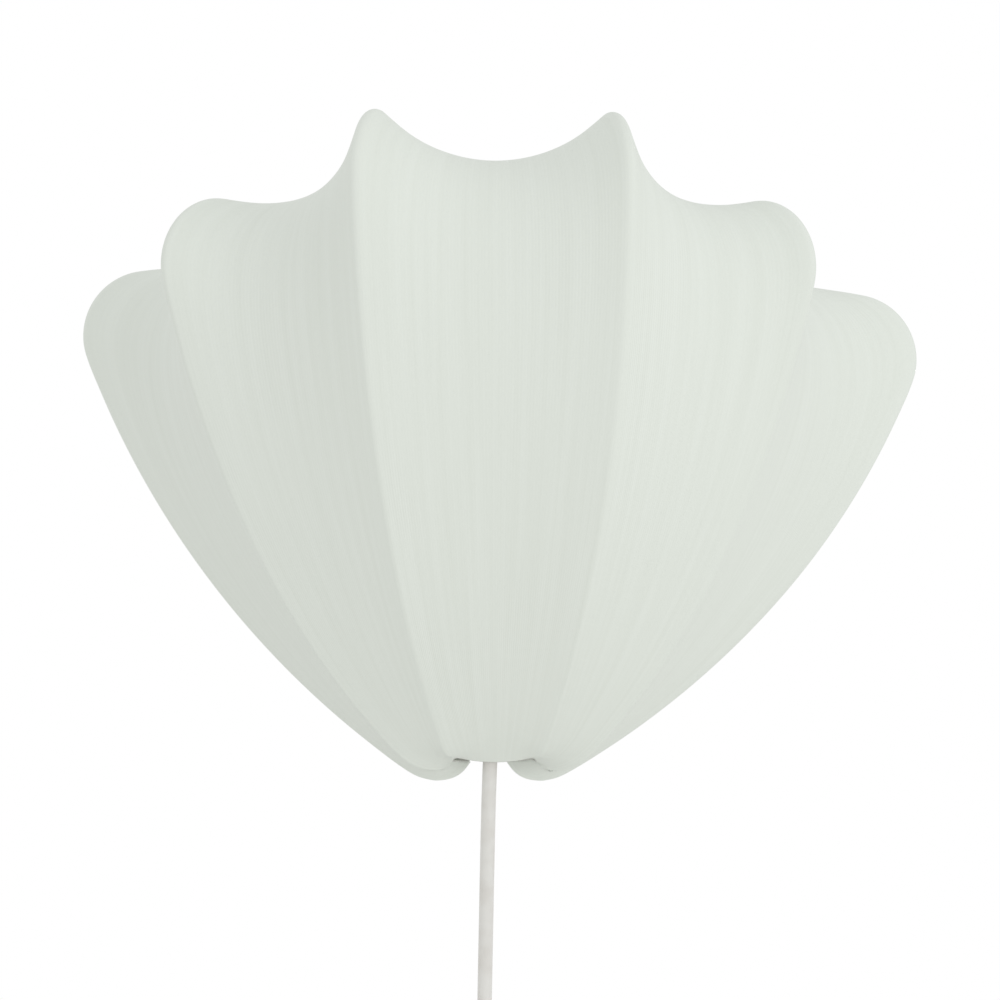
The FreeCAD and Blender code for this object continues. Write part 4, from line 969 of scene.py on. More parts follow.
def bake_nodes(obj: bpy.types.Object, tree: bpy.types.NodeTree,
               sizes: dict[str, float]) -> bpy.types.Object:
    """Run a geometry tree on an object and keep its result as a plain mesh.

    Args:
        obj: The object.
        tree: The tree.
        sizes: Values of the tree's named inputs.

    Returns:
        The same object with its new mesh.
    """
    modifier = obj.modifiers.new(tree.name, "NODES")
    modifier.node_group = tree
    for item in tree.interface.items_tree:
        if item.in_out == "INPUT" and item.name in sizes:
            modifier[item.identifier] = sizes[item.name]
    bpy.context.view_layer.update()
    graph = bpy.context.evaluated_depsgraph_get()
    mesh = bpy.data.meshes.new_from_object(obj.evaluated_get(graph))
    obj.modifiers.clear()
    obj.data = mesh
    mesh.name = obj.name
    smooth(mesh, BAKED_SHARP)
    return obj


def end_tree(tree: bpy.types.NodeTree, copies: bpy.types.Node,
             material: bpy.types.Material) -> bpy.types.NodeTree:
    """Finish a tree: make its copies real, give them their material and hand them out.

    Args:
        tree: The tree.
        copies: The node that sets the copies in their places.
        material: Their material.

    Returns:
        The same tree.
    """
    real = add_node(tree, "GeometryNodeRealizeInstances", {0: copies.outputs[0]})
    done = add_node(tree, "GeometryNodeSetMaterial", {0: real.outputs[0], "Material": material})
    add_node(tree, "NodeGroupOutput", {0: done.outputs[0]})
    return tree


def bead_tree(material: bpy.types.Material) -> bpy.types.NodeTree:
    """Weld beads: a ring of filler round the end of a wire, at each point of a mesh.

    Args:
        material: What the beads are finished in.

    Returns:
        The tree; its inputs are the ring's radius and the filler's thickness.
    """
    tree = node_tree("weld_beads", ("Ring radius", "Filler"))
    given = add_node(tree, "NodeGroupInput")
    ring, filler = (add_node(tree, "GeometryNodeCurvePrimitiveCircle", {
        "Resolution": steps, "Radius": given.outputs[radius]})
        for steps, radius in ((20, "Ring radius"), (8, "Filler")))
    bead = add_node(tree, "GeometryNodeCurveToMesh", {
        "Curve": ring.outputs[0], "Profile Curve": filler.outputs[0]})
    wobble = add_node(tree, "ShaderNodeTexNoise", {"Scale": BEAD_LUMPS, "Detail": 1.0})
    around = add_node(tree, "ShaderNodeVectorMath", {
        0: wobble.outputs["Color"], 1: (0.5, 0.5, 0.5)}, operation="SUBTRACT")
    shift = add_node(tree, "ShaderNodeVectorMath", {
        0: around.outputs[0], 3: BEAD_WOBBLE * MM}, operation="SCALE")
    lumpy = add_node(tree, "GeometryNodeSetPosition", {
        "Geometry": bead.outputs[0], "Offset": shift.outputs[0]})
    turn = add_node(tree, "FunctionNodeRandomValue", {
        "Min": (0.0, 0.0, 0.0), "Max": (0.0, 0.0, BEAD_TURN), "Seed": 4},
        data_type="FLOAT_VECTOR")
    beads = add_node(tree, "GeometryNodeInstanceOnPoints", {
        "Points": given.outputs[0], "Instance": lumpy.outputs[0], "Rotation": turn.outputs[0]})
    return end_tree(tree, beads, material)


def stitch_tree(material: bpy.types.Material) -> bpy.types.NodeTree:
    """Stitches: short lengths of thread laid at even steps along the edges of a mesh.

    Args:
        material: The thread.

    Returns:
        The tree; its inputs are the step, the stitch's length and the thread's radius.
    """
    tree = node_tree("stitches", ("Step", "Length", "Thread"))
    given = add_node(tree, "NodeGroupInput")
    path = add_node(tree, "GeometryNodeMeshToCurve", {0: given.outputs[0]})
    even = add_node(tree, "GeometryNodeResampleCurve", {
        "Curve": path.outputs[0], "Length": given.outputs["Step"]}, mode="LENGTH")
    places = add_node(tree, "GeometryNodeCurveToPoints", {"Curve": even.outputs[0]},
                      mode="EVALUATED")
    lean = add_node(tree, "FunctionNodeRandomValue", {
        "Min": (-STITCH_LEAN, -STITCH_LEAN, 0.0), "Max": (STITCH_LEAN, STITCH_LEAN, 0.0),
        "Seed": 7}, data_type="FLOAT_VECTOR")
    thread = add_node(tree, "GeometryNodeMeshCylinder", {
        "Vertices": 6, "Radius": given.outputs["Thread"], "Depth": given.outputs["Length"]})
    aimed = add_node(tree, "FunctionNodeRotateRotation", {
        "Rotation": places.outputs["Rotation"], "Rotate By": lean.outputs[0]},
        rotation_space="LOCAL")
    stitches = add_node(tree, "GeometryNodeInstanceOnPoints", {
        "Points": places.outputs[0], "Instance": thread.outputs[0],
        "Rotation": aimed.outputs[0]})
    return end_tree(tree, stitches, material)


def grip_tree(material: bpy.types.Material, count: int) -> bpy.types.NodeTree:
    """Grips: upright rounded bars set in a circle about the object's own axis.

    Args:
        material: What the bars are moulded in.
        count: How many bars.

    Returns:
        The tree; its inputs are the circle's radius, the bar's radius and its length.
    """
    tree = node_tree("grips", ("Circle", "Bar", "Length"))
    given = add_node(tree, "NodeGroupInput")
    ring = add_node(tree, "GeometryNodeMeshCircle", {
        "Vertices": count, "Radius": given.outputs["Circle"]})
    ball = add_node(tree, "GeometryNodeMeshUVSphere", {
        "Segments": 8, "Rings": 6, "Radius": given.outputs["Bar"]})
    slim = add_node(tree, "ShaderNodeMath", {
        0: given.outputs["Length"], 1: given.outputs["Bar"]}, operation="DIVIDE")
    half = add_node(tree, "ShaderNodeMath", {0: slim.outputs[0], 1: 0.5}, operation="MULTIPLY")
    size = add_node(tree, "ShaderNodeCombineXYZ", {0: 1.0, 1: 1.0, 2: half.outputs[0]})
    bars = add_node(tree, "GeometryNodeInstanceOnPoints", {
        "Points": ring.outputs[0], "Instance": ball.outputs[0], "Scale": size.outputs[0]})
    return end_tree(tree, bars, material)


def even_line(points: np.ndarray, step: float, easing: int = 0) -> np.ndarray:
    """A line through points at even steps, with its kinks eased.

    Args:
        points: Points of the line.
        step: Wanted distance from one new point to the next.
        easing: How many times each point moves half way to the middle of its neighbours.

    Returns:
        The new points.
    """
    run = np.concatenate([[0.0], np.cumsum(np.linalg.norm(np.diff(points, axis=0), axis=1))])
    places = np.linspace(0.0, run[-1], int(run[-1] / step) + 1)
    even = np.stack([np.interp(places, run, points[:, k]) for k in range(3)], axis=1)
    for _ in range(easing):
        even[1:-1] = even[1:-1] / 2 + (even[:-2] + even[2:]) / 4
    return even


def path_object(name: str, lines: Sequence[np.ndarray]) -> bpy.types.Object:
    """An object of loose edges along one or more lines.

    Args:
        name: Name of the object.
        lines: Points of each line, in millimetres.

    Returns:
        The object.
    """
    verts, edges = [], []
    for points in lines:
        first = len(verts)
        verts += (points * MM).tolist()
        edges += [(first + k, first + k + 1) for k in range(len(points) - 1)]
    mesh = bpy.data.meshes.new(name)
    mesh.from_pydata(verts, edges, [])
    return placed(name, mesh)


# ---------------------------------------------------------------- wire frame
@dataclass
class WireFrame:
    """Ribs, hub plates and wall spine: bent wire and flat bar, welded and powder coated."""

    palette: Palette
    edge: float = 0.35
    bead_radius: float = 2.5
    bead_filler: float = 0.75

    def build(self) -> None:
        """Dress the ribs, ease the flat pieces and lay the weld beads."""
        for number in range(1, len(RIBS) + 1):
            dress_node("rib_%d" % number, self.palette.wire)
        for node in ("wall_spine", "upper_hub", "lower_hub"):
            ease_node(node, self.edge, self.palette.wire)
        self.welds()

    def welds(self) -> None:
        """Lay a bead round each rib end, on the hub plates."""
        under = WIRE.lower_hub - WIRE.weld_gap
        over = WIRE.upper_hub + WIRE.hub_thickness + WIRE.weld_gap
        ends = [(rib.side * rib.end[0], -rib.end[1], z) for rib in RIBS for z in (under, over)]
        beads = path_object("weld_beads", [np.array([end]) for end in ends])
        tree = bead_tree(self.palette.wire)
        bake_nodes(beads, tree, {"Ring radius": self.bead_radius * MM,
                                 "Filler": self.bead_filler * MM})
        finish_piece(beads, self.palette.wire)


# ---------------------------------------------------------------- cover
def spline_weights(knots: np.ndarray, places: np.ndarray) -> np.ndarray:
    """Weights that carry values at the knots to other places along a smooth curve.

    Args:
        knots: Where the values are known, rising.
        places: Where they are wanted.

    Returns:
        One row of weights for each place, as a natural cubic spline gives them.
    """
    count, gaps = len(knots), np.diff(knots)
    bends, pulls = np.eye(count), np.zeros((count, count))
    for i in range(1, count - 1):
        before, after = gaps[i - 1], gaps[i]
        bends[i, i - 1:i + 2] = before, 2 * (before + after), after
        pulls[i, i - 1:i + 2] = 6 / before, -6 / before - 6 / after, 6 / after
    curvature = np.linalg.solve(bends, pulls)
    k = np.clip(np.searchsorted(knots, places, side="right") - 1, 0, count - 2)
    a = (knots[k + 1] - places) / gaps[k]
    b = 1 - a
    weights, rows = np.zeros((len(places), count)), np.arange(len(places))
    weights[rows, k] += a
    weights[rows, k + 1] += b
    square = gaps[k] ** 2 / 6
    weights += ((a ** 3 - a) * square)[:, None] * curvature[k]
    weights += ((b ** 3 - b) * square)[:, None] * curvature[k + 1]
    return weights


def between(values: np.ndarray, parts: int) -> np.ndarray:
    """The values with each gap cut into equal parts."""
    steps = np.arange(parts) / parts
    fine = values[:-1, None] + np.diff(values)[:, None] * steps
    return np.append(fine.ravel(), values[-1])


@dataclass
class Cover:
    """The knit cover: five panels that hang between the ribs like a stretched membrane.

    Each panel is the rest shape of a net that is pulled evenly across and along between its
    two ribs. The cloth lies one wire radius off that net and wraps every rib as part of a tube.
    """

    palette: Palette
    thickness: float = 0.8
    clearance: float = 0.25
    pull: float = 1.3                # tension along the ribs beside that across them
    droop: float = 3.0
    hem: float = 9.0
    columns: int = 8
    rows: tuple[tuple[int, int], ...] = ((0, 3), (1, 4), (2, 7), (3, 9), (4, 9), (5, 7))
    narrow: float = 0.5              # least width of a column that the pull is worked out for
    foot_share: float = 0.02         # stretch of the foot bend that gives the flat edge its way
    finer: int = 4
    flap_steps: int = 4
    wrap_steps: int = 8
    valley_turn: float = 0.2         # sine of the hollow angle at which a valley is bridged
    valley_reach: int = 6            # columns on each side that take part in the bridge
    hem_roll: float = 0.5
    edge_step: float = 1.2
    edge_easing: int = 6
    casing: float = 1.45
    casing_step: float = 1.6
    # share of the radius, rate along the hem and phase of each wave of the gathering
    gathers: tuple[tuple[float, float, float], ...] = ((0.07, 1.9, 0.0), (0.05, 0.83, 1.0))
    elastic: float = 2.0
    elastic_gap: float = 0.2
    stitch_inset: float = 1.6        # from the hem's inner edge
    stitch_gap: float = 0.1
    stitch_step: float = 3.2
    stitch_length: float = 2.1
    stitch_thread: float = 0.22
    cut_share: float = 0.86          # the sleeve is cut smaller than the frame that it covers

    @property
    def lift(self) -> float:
        """From a rib's middle line to the cloth's outer face."""
        return WIRE.diameter / 2 + self.clearance + self.thickness

    def rib_rows(self, rib: Rib) -> tuple[np.ndarray, np.ndarray]:
        """Points of a rib under each row of the net, and the outward directions there."""
        spans, marks, wrap = rib.spans(), [], rib.pair.wrap
        for index, steps in self.rows:
            begin = 1.0 - wrap if index == 0 else 0.0
            for k in range(0 if index == 0 else 1, steps + 1):
                marks.append(rib.mark(spans[index], begin + (1.0 - begin) * k / steps))
        points, outs = (np.array(part) for part in zip(*marks))
        if wrap == 0.0:
            # no wrap: the first rows run in from the foot as a short flat edge
            flat = self.rows[0][1]
            foot = spans[1]
            step = unit(rib.mark(foot, self.foot_share)[0] - rib.mark(foot, 0.0)[0])
            for k in range(flat):
                points[k], outs[k] = points[flat] - step * (flat - k), outs[flat]
        return points, outs

    def panel(self, left: np.ndarray, right: np.ndarray, droop: float) -> np.ndarray:
        """Solve the net between two ribs.

        Args:
            left: Points of the left rib, one for each row.
            right: Points of the right rib.
            droop: How far the lower edge sags at its middle.

        Returns:
            Points of the net, rows by columns.
        """
        share = np.linspace(0.0, 1.0, self.columns + 1)
        net = left[:, None] + (right - left)[:, None] * share[None, :, None]
        net[0, :, 2] -= droop * np.sin(math.pi * share)
        along = (np.linalg.norm(np.diff(left, axis=0), axis=1)
                 + np.linalg.norm(np.diff(right, axis=0), axis=1)) / 2
        across = np.linalg.norm(right - left, axis=1) / self.columns
        count, wide = len(left), self.columns + 1
        free = [(j, k) for j in range(1, count - 1) for k in range(1, wide - 1)]
        number = {place: i for i, place in enumerate(free)}
        matrix, known = np.zeros((len(free), len(free))), np.zeros((len(free), 3))
        for i, (j, k) in enumerate(free):
            up, down = self.pull / along[j], self.pull / along[j - 1]
            side = 0.5 * (along[j] + along[j - 1]) / max(across[j], self.narrow) ** 2
            matrix[i, i] = up + down + 2 * side
            for place, weight in (((j + 1, k), up), ((j - 1, k), down),
                                  ((j, k - 1), side), ((j, k + 1), side)):
                if place in number:
                    matrix[i, number[place]] -= weight
                else:
                    known[i] += weight * net[place]
        solved = np.linalg.solve(matrix, known)
        for i, place in enumerate(free):
            net[place] = solved[i]
        return net

    def nets(self) -> tuple[list[np.ndarray], list[np.ndarray], list[np.ndarray]]:
        """Fine nets of the five panels, and the fine rows of the six ribs."""
        coarse = [self.rib_rows(rib) for rib in RIBS]
        steps = np.mean([np.linalg.norm(np.diff(p, axis=0), axis=1) for p, _ in coarse], axis=0)
        height = np.concatenate([[0.0], np.cumsum(steps)])
        up = spline_weights(height, between(height, self.finer))
        places = np.arange(self.columns + 1.0)
        over = spline_weights(places, between(places, self.finer))
        middle = len(RIBS) // 2 - 1
        panels = []
        for k, ((a, _), (b, _)) in enumerate(zip(coarse[:-1], coarse[1:])):
            net = self.panel(a, b, self.droop if k == middle else 0.0)
            panels.append(np.einsum("rj,ck,jkx->rcx", up, over, net))
        return panels, [up @ p for p, _ in coarse], [unit(up @ o) for _, o in coarse]

    @staticmethod
    def normals(net: np.ndarray) -> np.ndarray:
        """Unit normals of a net, out of the lamp."""
        return unit(np.cross(np.gradient(net, axis=1), np.gradient(net, axis=0)))

    @staticmethod
    def fan(first: np.ndarray, last: np.ndarray, steps: int) -> np.ndarray:
        """Unit vectors that turn evenly from one set to the other, rows by steps."""
        angle = np.arccos(np.clip((first * last).sum(-1), -1, 1))[:, None, None]
        angle = np.maximum(angle, 1e-3)
        t = (np.arange(steps + 1) / steps)[None, :, None]
        return unit(first[:, None] * np.sin((1 - t) * angle) + last[:, None] * np.sin(t * angle))

    def eased_valley(self, grid: np.ndarray, first: int, rib: np.ndarray, before: np.ndarray,
                     after: np.ndarray) -> None:
        """Round out the cloth over a rib in the rows where its two panels rise away from it.

        Near the foot and the crown the panels meet in a valley. The turn round the wire would
        fold back on itself there, so the cloth bridges the valley in a soft curve instead.

        Args:
            grid: The cloth, changed in place.
            first: Column where the turn round the rib starts.
            rib: Points of the rib.
            before: Normals of the panel before the rib.
            after: Normals of the panel after it.
        """
        turn = (np.cross(before, after) * unit(np.gradient(rib, axis=0))).sum(-1)
        hollow = np.clip(-np.sign(np.median(turn)) * turn / self.valley_turn, 0, 1)[:, None, None]
        low, high = first - self.valley_reach, first + self.wrap_steps + self.valley_reach
        crest = rib + unit(before + after) * self.lift
        a, b, c = grid[:, low, None], crest[:, None], grid[:, high, None]
        t = np.linspace(0.0, 1.0, high - low + 1)[None, :, None]
        curve = (1 - t) ** 2 * a + 2 * t * (1 - t) * b + t * t * c
        grid[:, low:high + 1] += hollow * (curve - grid[:, low:high + 1])

    def skin(self) -> np.ndarray:
        """The cloth's outer face as one grid, from the left flap over the ribs to the right."""
        panels, ribs, outs = self.nets()
        faces = [self.normals(net) for net in panels]
        wall = np.tile([0.0, 1.0, 0.0], (len(ribs[0]), 1))
        flap = np.linspace(0.0, 1.0, self.flap_steps + 1)
        columns = [ribs[0] - outs[0] * (self.hem * s) + wall * self.lift for s in flap[:0:-1]]
        turns = []
        for index, rib in enumerate(ribs):
            turns.append(len(columns))
            before = faces[index - 1][:, -1] if index else wall
            after = faces[index][:, 0] if index < len(panels) else wall
            turn = self.fan(before, after, self.wrap_steps)
            columns += [rib + turn[:, k] * self.lift for k in range(self.wrap_steps + 1)]
            if index < len(panels):
                outer = panels[index] + faces[index] * self.lift
                columns += [outer[:, k] for k in range(1, outer.shape[1] - 1)]
        columns += [ribs[-1] - outs[-1] * (self.hem * s) + wall * self.lift for s in flap[1:]]
        grid = np.stack(columns, axis=1)
        for index in range(1, len(ribs) - 1):
            self.eased_valley(grid, turns[index], ribs[index], faces[index - 1][:, -1],
                              faces[index][:, 0])
        return grid

    def build(self) -> None:
        """Make the cloth, its rolled edge, the elastic's casing and the stitches."""
        grid = self.skin()
        cloth = self.cloth(grid)
        trims = [self.rolled_edge(grid), self.casings(), self.stitches()]

    @staticmethod
    def area(grid: np.ndarray) -> float:
        """Area of a grid of points."""
        a = grid[1:, 1:] - grid[:-1, :-1]
        b = grid[1:, :-1] - grid[:-1, 1:]
        return float(np.linalg.norm(np.cross(a, b), axis=2).sum() / 2)

    def cloth(self, grid: np.ndarray) -> bpy.types.Object:
        """The cloth itself: one face of quads with its own map, thickened inwards."""
        high, wide = grid.shape[:2]
        faces = [(j * wide + k, j * wide + k + 1, (j + 1) * wide + k + 1, (j + 1) * wide + k)
                 for j in range(high - 1) for k in range(wide - 1)]
        cloth = mesh_from("knit_cover", grid.reshape(-1, 3), faces, sharp=80.0)
        across = np.linalg.norm(np.diff(grid, axis=1), axis=2).mean(axis=0)
        along = np.linalg.norm(np.diff(grid, axis=0), axis=2).mean(axis=1)
        u = np.concatenate([[0.0], np.cumsum(across)]) * MM
        v = np.concatenate([[0.0], np.cumsum(along)]) * MM
        chart = np.stack(np.meshgrid(u, v), axis=-1).reshape(-1, 2)
        layer = cloth.data.uv_layers.new(name="cloth")
        corners = np.zeros(len(cloth.data.loops), int)
        cloth.data.loops.foreach_get("vertex_index", corners)
        layer.data.foreach_set("uv", chart[corners].ravel())
        thick = cloth.modifiers.new("thickness", "SOLIDIFY")
        thick.thickness, thick.offset = self.thickness * MM, -1.0
        return finish_piece(cloth, self.palette.knit, replaces=("fabric_cover",))

    def rolled_edge(self, grid: np.ndarray) -> bpy.types.Object:
        """The overlocked edge, rolled over at the foot and at the top of the cover."""
        inward = unit(np.cross(np.gradient(grid, axis=0), np.gradient(grid, axis=1)))
        paths = [even_line(grid[row] + inward[row] * self.thickness / 2, self.edge_step,
                           self.edge_easing) for row in (0, -1)]
        rolls = [sweep(path, circle(self.hem_roll, 8), (0.0, 0.0, 1.0)) for path in paths]
        edge = mesh_from("rolled_edge", *joined(rolls), sharp=60)
        return finish_piece(edge, self.palette.thread)

    def casing_lines(self, inset: float, back: float) -> list[np.ndarray]:
        """Lines that follow the two outer ribs, moved in from the wire and to the wall."""
        _, ribs, outs = self.nets()
        return [ribs[k] - outs[k] * inset + np.array([0.0, back, 0.0]) for k in (0, -1)]

    def casings(self) -> bpy.types.Object:
        """The gathered casing round the elastic at the inner edge of both flaps."""
        inset = self.hem + self.elastic / 2 + self.elastic_gap
        back = WIRE.diameter / 2 + self.clearance + self.thickness / 2
        tubes = []
        for path in self.casing_lines(inset, back):
            path = even_line(path, self.casing_step)
            run = np.arange(len(path)) * self.casing_step
            gather = np.ones(len(path))
            for share, rate, phase in self.gathers:
                gather += share * np.sin(run * rate + phase)
            tubes.append(sweep(path, circle(self.casing, 10), (0.0, 1.0, 0.0), gather))
        casing = mesh_from("elastic_casing", *joined(tubes), sharp=60)
        return finish_piece(casing, self.palette.thread, replaces=("hem_elastic",))

    def stitches(self) -> bpy.types.Object:
        """A row of stitches beside the casing, on the wall side of both flaps."""
        lines = self.casing_lines(self.hem - self.stitch_inset, self.lift + self.stitch_gap)
        thread = path_object("hem_stitches", lines)
        bake_nodes(thread, stitch_tree(self.palette.thread),
                   {"Step": self.stitch_step * MM, "Length": self.stitch_length * MM,
                    "Thread": self.stitch_thread * MM})
        return finish_piece(thread, self.palette.thread)


# ---------------------------------------------------------------- lampholder and lamp
@dataclass
class Lampholder:
    """Bracket, two-part lampholder, threaded sleeve, gland and grommet."""

    palette: Palette
    axis: tuple[float, float] = (0.0, -29.0)
    seat: float = -44.0
    radius: float = 13.5
    base_height: float = 18.0
    shell_height: float = 23.0
    wall: float = 2.2
    rim: float = 14.75
    rim_height: float = 3.0
    nipple: float = 5.0
    nipple_length: float = 20.0
    cord_bore: float = 3.6
    bore: float = 7.85
    sleeve: float = 7.75
    sleeve_wall: float = 0.6
    sleeve_length: float = 16.0
    sleeve_groove: float = 0.12
    contact: float = 2.0
    edge: float = 0.4                # of the bracket
    screw_edge: float = 0.3
    base_corner: float = 0.6
    nipple_pitch: float = 1.0
    nipple_thread: float = 0.35      # depth
    nipple_plain: float = 0.5        # no thread this far below the base
    collar: float = 1.0              # height of the shell's plain foot
    collar_inset: float = 0.3        # from the base's radius
    barrel: float = 1.4              # height where the shell's slimmer barrel starts
    barrel_inset: float = 0.9
    rim_slope: float = 0.6
    shell_corner: float = 0.5
    grips: int = 30
    grip_inset: float = 0.95         # from the base's radius to the bars' middles
    grip_radius: float = 0.62
    grip_plain: float = 2.2          # height of the barrel that the bars leave free
    gland: tuple[float, float, float, float] = (5.0, 7.25, -72.0, -50.0)
    gland_rings: BendingRings = BendingRings(6, 0.4, 5.0, 0.1, 0.7, (0.6, 0.7, 0.92))
    gland_head: float = 4.6          # height of the plain end in the lampholder
    gland_lip: float = 0.6
    soft_corner: float = 0.25
    thread_pitch: float = 2.82
    grommet_at: tuple[float, float] = (-1.1, -23.9)
    grommet_bore: float = 4.75
    grommet_waist: float = 5.9
    grommet_flange: float = 7.75
    grommet_lip: float = 1.2
    grommet_corner: float = 0.5

    def build(self) -> None:
        """Make every piece of the lampholder."""
        self.bracket()
        self.base()
        self.shell()
        self.metal()
        self.cord_gland()
        self.grommet()

    def bracket(self) -> None:
        """Bent bracket, its screws and the nut under the shelf."""
        ease_node("lamp_bracket", self.edge, self.palette.wire)
        for node in ("bracket_screws", "nipple_nut"):
            ease_node(node, self.screw_edge, self.palette.zinc)

    def base(self) -> None:
        """Lower half with its hollow threaded nipple."""
        low, high = self.seat, self.seat + self.base_height
        inner, foot = self.radius - self.wall, self.seat - self.nipple_length
        profile = [(self.cord_bore, foot), (self.nipple, foot), (self.nipple, low),
                   (self.radius, low), (self.radius, high)]
        thread = self.threaded(self.nipple, foot, low - self.nipple_plain, self.nipple_pitch,
                               self.nipple_thread)
        ring = round_corners(profile, self.base_corner, closed=False)
        ring = [ring[0]] + self.fill_heights(ring[1:], foot, low, step=0.25) + [(0.0, high)]
        cavity = [(0.0, high - 2 * self.wall), (inner, high - 2 * self.wall),
                  (inner, low + self.wall), (self.cord_bore, low + self.wall)]
        base = turned("lampholder_base", cavity + ring, self.axis, segments=56, closed=False,
                      shape=thread)
        finish_piece(base, self.palette.plastic, replaces=("holder_base",))

    @staticmethod
    def fill_heights(profile, low: float, high: float, step: float):
        """Add points on the upright stretches of a profile between two heights."""
        out = [profile[0]]
        for (r0, z0), (r1, z1) in zip(profile[:-1], profile[1:]):
            upright = abs(r1 - r0) < ON_AXIS and low - 1 <= min(z0, z1) and max(z0, z1) <= high + 1
            count = max(1, int(abs(z1 - z0) / step)) if upright else 1
            out += [(r0 + (r1 - r0) * k / count, z0 + (z1 - z0) * k / count)
                    for k in range(1, count + 1)]
        return out

    @staticmethod
    def threaded(radius: float, low: float, high: float, pitch: float, depth: float):
        """A rounded thread for lathe, cut into the stretch of that radius between two heights."""
        def shape(r: float, z: float, angle: float) -> float:
            """The radius at a height and an angle."""
            if abs(r - radius) > 0.02 or not low < z < high:
                return r
            fade = min(1.0, (z - low) / pitch, (high - z) / pitch)
            wave = 0.5 - 0.5 * math.cos(2 * math.pi * (z / pitch) - angle)
            return r - depth * wave * fade
        return shape

    def shell(self) -> None:
        """Upper half: a tube with a rim and a ring of grips."""
        low, high = self.seat + self.base_height, self.seat + self.base_height + self.shell_height
        mouth, collar = self.radius - self.wall, self.radius - self.collar_inset
        barrel = self.radius - self.barrel_inset
        throat = low + self.contact + self.sleeve_length
        profile = [(self.bore, low), (collar, low), (collar, low + self.collar),
                   (barrel, low + self.barrel), (barrel, high - self.rim_height - self.rim_slope),
                   (self.rim, high - self.rim_height), (self.rim, high), (mouth, high),
                   (self.bore, throat)]
        shell = turned("lampholder_shell", round_corners(profile, self.shell_corner), self.axis,
                       segments=72)
        finish_piece(shell, self.palette.plastic, replaces=("holder_shell",))
        length = high - self.rim_height - low - self.grip_plain
        grips = path_object("lampholder_grips", [np.zeros((1, 3))])
        bake_nodes(grips, grip_tree(self.palette.plastic, self.grips),
                   {"Circle": (self.radius - self.grip_inset) * MM, "Bar": self.grip_radius * MM,
                    "Length": length * MM})
        middle = Vector((*self.axis, low + self.barrel + length / 2)) * MM
        grips.data.transform(Matrix.Translation(middle))
        finish_piece(grips, self.palette.plastic)

    def metal(self) -> None:
        """Threaded sleeve and spring contact."""
        low = self.seat + self.base_height + self.contact
        high, inner = low + self.sleeve_length, self.sleeve - self.sleeve_wall
        section = [(self.sleeve, low), (self.sleeve, high)] + self.fill_heights(
            [(inner, high), (inner, low)], low, high, step=0.35)
        thread = self.threaded(inner, low, high, self.thread_pitch, -self.sleeve_groove)
        sleeve = turned("threaded_sleeve", section, self.axis, segments=48, shape=thread)
        finish_piece(sleeve, self.palette.brass, replaces=("holder_sleeve",))
        dress_node("spring_contact", self.palette.brass)

    def cord_gland(self) -> None:
        """Tapered strain relief with its bending rings."""
        small, large, low, high = self.gland
        profile = [(self.cord_bore, low), (small - self.gland_lip, low),
                   *self.gland_rings.profile(low, high, small, large),
                   (large, high - self.gland_head), (large, high), (self.cord_bore, high)]
        gland = turned("cord_gland_relief", round_corners(profile, self.soft_corner), self.axis,
                       segments=48)
        finish_piece(gland, self.palette.plastic, replaces=("cord_gland",))

    def grommet(self) -> None:
        """Soft ring that keeps the cord off the plate's edge."""
        low, high = WIRE.lower_hub - self.grommet_lip, WIRE.lower_hub + WIRE.hub_thickness
        top = high + self.grommet_lip
        profile = [(self.grommet_bore, low), (self.grommet_flange, low),
                   (self.grommet_flange, WIRE.lower_hub), (self.grommet_waist, WIRE.lower_hub),
                   (self.grommet_waist, high), (self.grommet_flange, high),
                   (self.grommet_flange, top), (self.grommet_bore, top)]
        ring = turned("cord_grommet_ring", round_corners(profile, self.grommet_corner),
                      self.grommet_at, segments=48)
        finish_piece(ring, self.palette.rubber, replaces=("cord_grommet",))


